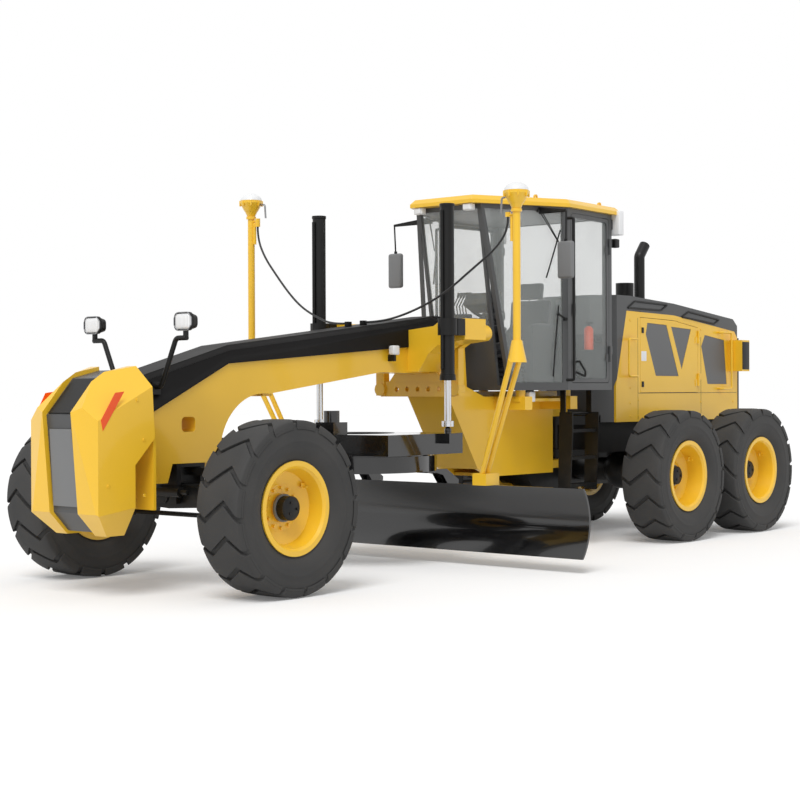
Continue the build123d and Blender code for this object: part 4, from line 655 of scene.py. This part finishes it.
# on the left side: name, middle, size, ahead, finish, and the foot's name and two corners
workLamps = [
    ("beamLamp", (1.14, 0.232, 1.93), (0.085, 0.06, 0.085), 1, "white",
     "beamLampBracket", (1.125, 0.163, 1.83), (1.155, 0.24, 1.89)),
    ("roofLamp", (0.122, 0.303, 3.312), (0.072, 0.104, 0.064), 1, "white", None, None, None),
    ("rearRoofLamp", (-1.765, 0.745, 3.265), (0.09, 0.13, 0.25), -1, "white",
     "rearRoofLampFoot", (-1.73, 0.68, 3.2), (-1.69, 0.73, 3.3)),
    ("rearSideLamp", (-1.76, 0.73, 3.06), (0.08, 0.07, 0.09), -1, "black",
     "rearSideLampFoot", (-1.74, 0.69, 3.03), (-1.69, 0.73, 3.09)),
    ("stepLamp", (-0.5, 0.56, 1.497), (0.09, 0.08, 0.1), 1, "white",
     "stepLampFoot", (-0.53, 0.53, 1.54), (-0.47, 0.59, 1.562)),
]
for label, side in sides:
    for name, (x, y, z), size, ahead, finish, footName, low, high in workLamps:
        workLamp(name + "_" + label, (x, side * y, z), size, ahead, finish)
        if footName:
            boxPiece(footName + "_" + label, low, high, "black", "front_frame", 0.003, side)

# the saddle cranks' eyes; a ring is its name, finish, outer and inner radius, start and depth along x
crank = {"x": 0.573, "y": 0.53, "z": 2.1, "pin": 0.036, "steps": 40,
         "rings": [("crankEye_", "yellow", 0.104, 0.052, 0.0, 0.05),
                   ("crankBush_", "steel", 0.056, 0.034, -0.004, 0.062)]}
for label, side in sides:
    middle = Vector((crank["x"], side * crank["y"], crank["z"]))
    for name, finish, outer, inner, start, depth in crank["rings"]:
        shape = bmesh.new()
        spinRing(shape, [(0, 0, inner), (0, 0, outer), (depth, 0, outer), (depth, 0, inner)],
                 middle + Vector((start, 0, 0)), (1, 0, 0), crank["steps"])
        finishPiece(name + label, shape, finish, bevel=0.003)
    barPiece("crankPin_" + label, middle - Vector((0.002, 0, 0)), middle + Vector((0.03, 0, 0)), crank["pin"], "black",
             "front_frame", segments=28, bevel=0.002)
print("front dressed")

# cab: its walls' corners as (x, y) on the left side
cab = {"front": (0.06, 0.4), "wide": (-0.81, 0.8), "rear": (-1.7, 0.73), "floor": 1.56}


# a point off one of the cab's upright walls, at x and z
def onWall(x, z, side, off, ends=("front", "wide")):
    (xa, ya), (xb, yb) = cab[ends[0]], cab[ends[1]]
    away = Vector((yb - ya, xa - xb)).normalized()
    y = ya + (x - xa) * (yb - ya) / (xb - xa)
    return Vector((x + away.x * off, side * (y + away.y * off), z))


def onDoor(x, z, side, off):
    return onWall(x, z, side, off, ("wide", "rear"))


# each wiper's spots on the front wall: (x, z)
wipers = {
    "upper": {"pivot": (-0.515, 3.3), "elbow": (-0.694, 3.01), "top": (-0.728, 3.12), "foot": (-0.584, 2.651)},
    "lower": {"pivot": (-0.775, 2.253), "elbow": (-0.695, 2.3), "top": (-0.707, 2.386), "foot": (-0.65, 1.692)},
}


def wiper(name, side, pivot, elbow, top, foot):
    shape = bmesh.new()
    addBar(shape, onWall(*pivot, side, -0.03), onWall(*pivot, side, 0.035), 0.016)
    for shift in (-0.012, 0.012):                       # the arm's two rods meet at the blade
        addBar(shape, onWall(pivot[0] + shift, pivot[1], side, 0.03),
               onWall(elbow[0] + shift * 0.3, elbow[1], side, 0.03), 0.005, segments=10)
    addBar(shape, onWall(*elbow, side, 0.034), onWall(*elbow, side, 0.004), 0.009, segments=12)
    addBar(shape, onWall(*top, side, 0.012), onWall(*foot, side, 0.012), 0.007, segments=10)
    addBar(shape, onWall(*top, side, 0.004), onWall(*foot, side, 0.004), 0.004, segments=8)
    finishPiece("wiper_" + name, shape, "black")


postRail = {"low": 1.66, "high": 3.24, "out": 0.062, "radius": 0.015, "bend": 0.04}
# a door handle's corners: (x, z, off the door)
handle = {"points": [(-0.93, 1.83, -0.005), (-0.945, 1.845, 0.05), (-1.06, 1.745, 0.05), (-1.06, 1.695, 0.05),
                     (-0.94, 1.745, -0.005)], "radius": 0.011, "bend": 0.03}
# the mirror hangs on a rod under a flat arm
mirror = {"middle": (-0.4, 1.06, 2.797), "half": (0.03, 0.088, 0.178), "glassHalf": (0.072, 0.16),
          "armRoot": (-0.52, 3.3), "armTip": (-0.4, 1.07, 3.262), "rod": 0.008, "socket": 0.016}
for label, side in sides:
    for name, spots in wipers.items():
        wiper(name + "_" + label, side, **spots)
    x, y = cab["wide"]
    inner, outer = (x + 0.01, side * (y - 0.015)), (x - 0.012, side * (y + postRail["out"]))
    rail("postRail_" + label, [(*inner, postRail["high"]), (*outer, postRail["high"]), (*outer, postRail["low"]),
                               (*inner, postRail["low"])], postRail["radius"], postRail["bend"], "black")
    rail("doorHandle_" + label, [onDoor(x, z, side, off) for x, z, off in handle["points"]], handle["radius"],
         handle["bend"], "black", "cab_door_" + label)
    x, y, z = mirror["middle"]
    middle, half = Vector((x, side * y, z)), Vector(mirror["half"])
    boxPiece("mirrorShell_" + label, middle - half, middle + half, "midGrey", "front_frame", 0.026, crease=60)
    across, up = mirror["glassHalf"]
    boxPiece("mirrorGlass_" + label, middle + Vector((-0.034, -across, -up)), middle + Vector((-0.028, across, up)),
             "mirror", "front_frame", 0.002)
    arm = bmesh.new()
    root = onWall(*mirror["armRoot"], side, -0.004)
    x, y, z = mirror["armTip"]
    tip = Vector((x, side * y, z))
    addPlate(arm, [root + Vector((0, 0, 0.035)), root - Vector((0, 0, 0.035)), tip - Vector((0, 0, 0.012)),
                   tip + Vector((0, 0, 0.012))], (0.014, side * 0.006, 0))
    addBar(arm, tip + Vector((0.007, 0, 0)), middle + Vector((0, 0, 0.17)), mirror["rod"])
    addBar(arm, middle + Vector((0, 0, 0.17)), middle + Vector((0, 0, 0.2)), mirror["socket"])
    finishPiece("mirrorArm_" + label, arm, "black", bevel=0.002,
                replaces=("mirrors",) if label == "right" else ())

# how every pad is shaped: a crown, sides that pull in, and a seam sewn along each side
pad = {"cells": 8, "waist": 0.03, "seamAt": 0.55, "seamWide": 0.12, "seamDeep": 0.05, "flat": 0.25, "crown": 0.35}


# a crowned pad whose sides pull in between its corners; size is along, across and thick
def cushion(name, middle, size, turn, replaces=()):
    shape = bmesh.new()
    count = pad["cells"]
    grid = {}
    for i in range(count + 1):
        for j in range(count + 1):
            u, v = i / count * 2 - 1, j / count * 2 - 1
            crown = (1 - u * u) * (1 - v * v)
            seam = -pad["seamDeep"] * math.exp(-((abs(v) - pad["seamAt"]) / pad["seamWide"]) ** 2)
            waist = 1 - pad["waist"] * (1 - abs(u * v)) * max(abs(u), abs(v)) ** 4
            for level, thick in ((0, -0.5), (1, pad["flat"] + pad["crown"] * crown ** 0.5 + seam)):
                spot = (u * size[0] / 2 * waist, v * size[1] / 2 * waist, thick * size[2])
                grid[i, j, level] = shape.verts.new(spot)
    for i in range(count):
        for j in range(count):
            for level in (0, 1):
                shape.faces.new([grid[a, b, level] for a, b in ((i, j), (i + 1, j), (i + 1, j + 1), (i, j + 1))])
    rim = [(i, 0) for i in range(count)] + [(count, j) for j in range(count)]
    rim += [(count - i, count - j) for i, j in rim]     # the other two sides
    joinRings(shape, [[grid[spot + (level,)] for spot in rim] for level in (0, 1)], closed=False)
    bmesh.ops.transform(shape, matrix=Matrix.Translation(middle) @ turn.to_4x4(), verts=shape.verts)
    made = finishPiece(name, shape, "cloth", crease=180, levels=2, replaces=replaces)


# sprung seat
seatX = tandemX + 1.95
flat, upright = Matrix.Identity(3), Matrix.Rotation(math.radians(-97), 3, "Y")
cushion("seatCushion", (seatX + 0.01, 0, 1.99), (0.5, 0.5, 0.13), flat, replaces=("seat",))
cushion("seatBack", (seatX - 0.215, 0, 2.24), (0.5, 0.48, 0.13), upright)
cushion("headRest", (seatX - 0.25, 0, 2.575), (0.17, 0.27, 0.1), upright)
for label, side in sides:
    cushion("armRest_" + label, (seatX, side * 0.3, 2.2), (0.34, 0.07, 0.06), flat)
# the seat's frame: a foot, the folds of its bellows, then boxes under, behind and beside the cushions
bellows = {"count": 4, "pitch": 0.05, "deep": 0.046, "taper": 0.008, "foot": cab["floor"] + 0.13}
shape = bmesh.new()
addBox(shape, (seatX - 0.2, -0.2, cab["floor"] + 0.052), (seatX + 0.2, 0.2, bellows["foot"]), edge=0.01)
for fold in range(bellows["count"]):
    low, half = bellows["foot"] + fold * bellows["pitch"], 0.17 - fold * bellows["taper"]
    addBox(shape, (seatX - half, -0.18, low), (seatX + half, 0.18, low + bellows["deep"]), edge=0.016)
addBox(shape, (seatX - 0.24, -0.23, 1.885), (seatX + 0.25, 0.23, 1.93), edge=0.012)
addBox(shape, (seatX - 0.285, -0.19, 1.9), (seatX - 0.25, 0.19, 2.44), edge=0.01)
for side in (-1, 1):
    addBar(shape, (seatX - 0.272, side * 0.06, 2.42), (seatX - 0.29, side * 0.06, 2.56), 0.009)
    for low, high in (((-0.27, 0.23, 2.14), (-0.14, 0.27, 2.18)), ((-0.27, 0.2, 1.95), (-0.23, 0.25, 2.18)),
                      ((-0.17, 0.26, 2.14), (0.16, 0.33, 2.175))):
        addSideBox(shape, side, (seatX + low[0], *low[1:]), (seatX + high[0], *high[1:]), edge=0.006)
finishPiece("seatFrame", shape, "plastic")

# head of the steering column, its wheel's grip, and the two banks of levers
column = {"x": tandemX + 2.56, "lean": -24, "levers": 5, "leverPitch": 0.037, "stem": 0.006,
          "wheel": 0.178, "grip": 0.017, "gripSpots": 16}
columnX = column["x"]
shape = bmesh.new()
addBox(shape, (columnX - 0.1, -0.16, 2.36), (columnX + 0.09, 0.16, 2.5),
       Matrix.Rotation(math.radians(column["lean"]), 3, "Y"), 0.02)
for side in (-1, 1):
    addSideBox(shape, side, (columnX + 0.02, 0.1, 2.25), (columnX + 0.14, 0.31, 2.32), edge=0.012)
    addSideBox(shape, side, (columnX, 0.03, 2.2), (columnX + 0.1, 0.16, 2.28), edge=0.012)
finishPiece("dashHousing", shape, "plastic")
levers, knobs = bmesh.new(), bmesh.new()
for side in (-1, 1):
    for place in range(column["levers"]):
        foot = Vector((columnX + 0.08, side * (0.13 + place * column["leverPitch"]), 2.31))
        bend = foot + Vector((0.02, 0, 0.09))
        tip = bend + Vector((-0.06, -side * 0.012, 0.1))
        addBar(levers, foot, bend, column["stem"], segments=10)
        addBar(levers, bend, tip, column["stem"], segments=10)
        addBar(knobs, tip + Vector((0.006, 0, -0.012)), tip + Vector((-0.012, 0, 0.035)), 0.012, 0.015, segments=14)
finishPiece("leverStems", levers, "black")
finishPiece("leverKnobs", knobs, "plastic", bevel=0.003)
axis = Vector((-0.5, 0, 0.9)).normalized()
wheelMiddle = Vector((columnX - 0.07, 0, 2.35)) + axis * 0.012
level = Vector((0, 1, 0))
turns = [math.tau * n / column["gripSpots"] for n in range(column["gripSpots"])]
rail("wheelGrip", [wheelMiddle + column["wheel"] * (math.cos(turn) * level + math.sin(turn) * axis.cross(level))
                   for turn in turns], column["grip"], 0.02, "plastic", "front_frame", closed=True)
barPiece("wheelBoss", wheelMiddle - axis * 0.02, wheelMiddle + axis * 0.022, 0.05, "plastic", "front_frame", 0.035, 28,
         0.004)

# extinguisher on the rear wall
bottle = {"x": -1.5, "y": 0.58, "foot": 1.97, "shoulder": 2.18, "neck": 2.21, "radius": 0.048, "neckRadius": 0.02}
x, y = bottle["x"], bottle["y"]
body, head = bmesh.new(), bmesh.new()
addBar(body, (x, y, bottle["foot"]), (x, y, bottle["shoulder"]), bottle["radius"], segments=28)
addBar(body, (x, y, bottle["shoulder"]), (x, y, bottle["neck"]), bottle["radius"], bottle["neckRadius"], segments=28)
finishPiece("extinguisher", body, "orange", bevel=0.004)
addBar(head, (x, y, bottle["neck"] - 0.01), (x, y, bottle["neck"] + 0.03), 0.016)
addBox(head, (x - 0.06, y - 0.01, 2.235), (x + 0.04, y + 0.01, 2.255), edge=0.003)
addBox(head, (x - 0.165, y - 0.05, 2.05), (x - 0.045, y + 0.05, 2.09), edge=0.004)
finishPiece("extinguisherHead", head, "black")

# dark panel under the front side window, as (x, z), and the door's latch
cabPanel = {"outline": [(-0.16, 2.06), (-0.27, 2.2), (-0.36, 2.2), (-0.33, 1.62), (-0.2, 1.62)],
            "outer": -0.045, "inner": -0.055}
latch = {"x": -0.915, "z": 2.35, "off": 0.006, "half": (0.02, 0.012, 0.06)}
for label, side in sides:
    shape = bmesh.new()
    addPlate(shape, [onWall(x, z, side, cabPanel["outer"]) for x, z in cabPanel["outline"]],
             onWall(-0.2, 1.7, side, cabPanel["inner"]) - onWall(-0.2, 1.7, side, cabPanel["outer"]))
    finishPiece("cabPanel_" + label, shape, "black")
    middle, half = onDoor(latch["x"], latch["z"], side, latch["off"]), Vector(latch["half"])
    boxPiece("doorLatch_" + label, middle - half, middle + half, "black", "cab_door_" + label, 0.006)
print("cab dressed")

# hood; vents, bolts and upright seams give x from the tandem's middle, frames give it from the machine's
hood = {
    "half": 0.5, "ventIn": 0.0075, "ventWall": 0.005, "ventShrink": 0.004, "boltRadius": 0.012,
    "vents": {"hood_door": [[(0.275, 2.284), (-0.12, 2.27), (-0.375, 1.708), (0.105, 1.708), (0.31, 2.16)],
                            [(-0.215, 2.255), (-0.645, 2.235), (-0.44, 1.78)]],
              "rear_frame": [[(-0.95, 2.18), (-1.39, 2.13), (-1.45, 1.62), (-1.01, 1.62), (-0.87, 2.05)]]},
    "bolts": [(0.62, 2.3), (0.62, 1.42), (0.62, 1.58), (-0.86, 2.24), (-0.86, 1.42), (-1.6, 1.42), (-1.6, 1.58),
              (-1.6, 2.1), (0.62, 1.28), (-0.86, 1.28), (-1.6, 1.28), (0.46, 1.28), (0.46, 1.45)],
    "seams": [(0.47, 1.24, 2.33), (-0.86, 1.24, 2.25)],     # x, low and high
    "frames": [[(-2.36, 2.431), (-2.5, 2.505), (-3.16, 2.49), (-3.03, 2.425)],
               [(-3.47, 2.368), (-3.62, 2.43), (-4.3, 2.36), (-4.19, 2.312)]],
}
seam = {"half": 0.002, "inner": 0.4985, "outer": 0.5012}
tailLamp = {"y": 0.585, "radius": 0.045, "tip": 0.038, "lenses": [(1.87, "orange"), (1.98, "lens")]}
hoodHalf = hood["half"]


# an outline whose corners are drawn in towards its middle
def shrunk(outline, amount):
    middle = Vector((sum(x for x, _ in outline), sum(z for _, z in outline))) / len(outline)
    return [tuple(Vector(point) + (middle - Vector(point)).normalized() * amount) for point in outline]


for label, side in sides:
    for body, outlines in hood["vents"].items():
        owner = body + "_" + label if body == "hood_door" else body
        for number, outline in enumerate(outlines):
            shape = bmesh.new()
            addPlate(shape, [(tandemX + x, side * (hoodHalf - hood["ventIn"]), z)
                             for x, z in shrunk(outline, hood["ventShrink"])], (0, side * hood["ventWall"], 0))
            finishPiece("ventMesh_%s_%s_%d" % (body, label, number), shape, "mesh", owner)
    bolts = bmesh.new()
    for x, z in hood["bolts"]:
        addBar(bolts, (tandemX + x, side * (hoodHalf - 0.003), z), (tandemX + x, side * (hoodHalf + 0.005), z),
               hood["boltRadius"], segments=6)
    finishPiece("hoodBolts_" + label, bolts, "yellow", "rear_frame", bevel=0.001)
    seams = bmesh.new()
    for x, low, high in hood["seams"]:
        addSideBox(seams, side, (tandemX + x - seam["half"], seam["inner"], low),
                   (tandemX + x + seam["half"], seam["outer"], high))
    addSideBox(seams, side, (tandemX - 1.68, seam["inner"], 1.522), (tandemX + 0.46, seam["outer"], 1.526))
    finishPiece("hoodSeams_" + label, seams, "black", "rear_frame")
    boxPiece("blankTag_" + label, (-2.73, seam["inner"], 1.87), (-2.63, 0.502, 1.975), "white", "hood_door_" + label,
             side=side)
    latches = bmesh.new()
    for z in (1.62, 2.2):
        addSideBox(latches, side, (-2.675, 0.498, z - 0.03), (-2.635, 0.508, z + 0.03), edge=0.004)
    finishPiece("hoodLatch_" + label, latches, "black", "hood_door_" + label)
    for number, outline in enumerate(hood["frames"]):
        rail("coverFrame_%s_%d" % (label, number), [(x, side * (hoodHalf + 0.002), z) for x, z in outline], 0.011,
             0.025, "black", "rear_frame", closed=True)
    boxPiece("tailLampFace_" + label, (-4.7, 0.664, 1.79), (-4.54, 0.676, 2.11), "black", "rear_frame", 0.006, side)
    for number, (z, finish) in enumerate(tailLamp["lenses"]):
        y = side * tailLamp["y"]
        barPiece("tailLamp_%s_%d" % (label, number), (-4.705, y, z), (-4.722, y, z), tailLamp["radius"], finish,
                 "rear_frame", tailLamp["tip"], 32, 0.003)
print("hood dressed")

# receivers on the masts, with heights from the top of each pole, and the lift cylinders' glands
mast = {"x": 1.14, "y": 1.61, "tops": {"left": 3.11, "right": 3.27}}
receiver = {"radius": 0.106, "rise": 0.07, "foot": 0.161, "around": 40, "rings": 6, "ringTurn": 17,
            "ribs": 8, "ribMiddle": 0.135, "collar": 0.048}
gland = {"x": tandemX + 4.083, "y": 0.781, "rings": [(1.652, 1.7, 0.072), (1.7, 1.712, 0.067), (3.2, 3.228, 0.068)]}
for label, side in sides:
    x, y, top = mast["x"], side * mast["y"], mast["tops"][label]
    dome = bmesh.new()
    rows = []
    for ring in range(receiver["rings"]):
        angle = math.radians(ring * receiver["ringTurn"])
        radius, lift = receiver["radius"] * math.cos(angle), receiver["rise"] * math.sin(angle)
        turns = [math.tau * n / receiver["around"] for n in range(receiver["around"])]
        rows.append([dome.verts.new((x + radius * math.cos(turn), y + radius * math.sin(turn),
                                     top + receiver["foot"] + lift)) for turn in turns])
    joinRings(dome, rows)
    finishPiece("receiverDome_" + label, dome, "white", "blade", crease=60)
    ribs = bmesh.new()
    for n in range(receiver["ribs"]):
        turn = Matrix.Rotation(math.tau * n / receiver["ribs"], 3, "Z")
        spot = Vector((x, y, top + receiver["ribMiddle"])) + turn @ Vector((receiver["radius"], 0, 0))
        addBox(ribs, spot - Vector((0.008, 0.008, 0.03)), spot + Vector((0.008, 0.008, 0.024)), edge=0.003)
    addBar(ribs, (x, y, top - 0.02), (x, y, top + 0.004), receiver["collar"], segments=24)
    finishPiece("receiverRibs_" + label, ribs, "yellow", "blade")
    loop = [(x - 0.02, y - side * inward, top + up) for inward, up in ((0.09, 0.12), (0.17, 0.11), (0.18, -0.02))]
    rail("receiverLoop_" + label, loop, 0.009, 0.03, "steel", "blade")
    shape = bmesh.new()
    for low, high, radius in gland["rings"]:
        addBar(shape, (gland["x"], side * gland["y"], low), (gland["x"], side * gland["y"], high), radius, segments=36)
    finishPiece("liftGland_" + label, shape, "black", "lift_cylinder_" + label, bevel=0.003)
print("masts dressed")

# floor, sun and world; sunTurn and sunSize are in degrees, floorSize in metres
studio = {"floor": 0.9, "floorSize": 60, "glow": 0.12, "world": 0.62, "sun": 1.7, "sunTurn": (38, 0, 118),
          "sunSize": 28}
shape = bmesh.new()
bmesh.ops.create_grid(shape, x_segments=1, y_segments=1, size=studio["floorSize"])
floorData = bpy.data.meshes.new("floor")
shape.to_mesh(floorData)
shape.free()
floorPiece = bpy.data.objects.new("floor", floorData)
scene.collection.objects.link(floorPiece)
ground = bpy.data.materials.new("floorPaint")
ground.use_nodes = True
ground.node_tree.nodes.clear()
wires = Wire(ground.node_tree)
pale = wires.add("BsdfDiffuse", {}, {"Color": (studio["floor"],) * 3 + (1,)})
glow = wires.add("Emission", {}, {"Strength": wires.seen() * studio["glow"]})
both = wires.add("AddShader", {}, {0: pale, 1: glow})
end = ground.node_tree.nodes.new("ShaderNodeOutputMaterial")
ground.node_tree.links.new(both.socket, end.inputs["Surface"])
floorData.materials.append(ground)

world = bpy.data.worlds.new("studio")
scene.world = world
world.use_nodes = True
world.node_tree.nodes.clear()
wires = Wire(world.node_tree)
sky = wires.add("Background", {}, {"Color": (1, 1, 1, 1),
                                   "Strength": wires.seen() * (1 - studio["world"]) + studio["world"]})
end = world.node_tree.nodes.new("ShaderNodeOutputWorld")
world.node_tree.links.new(sky.socket, end.inputs["Surface"])
sun = bpy.data.lights.new("sun", "SUN")
sun.energy, sun.angle = studio["sun"], math.radians(studio["sunSize"])
lamp = bpy.data.objects.new("sun", sun)
scene.collection.objects.link(lamp)
lamp.rotation_euler = [math.radians(v) for v in studio["sunTurn"]]
print("light set")
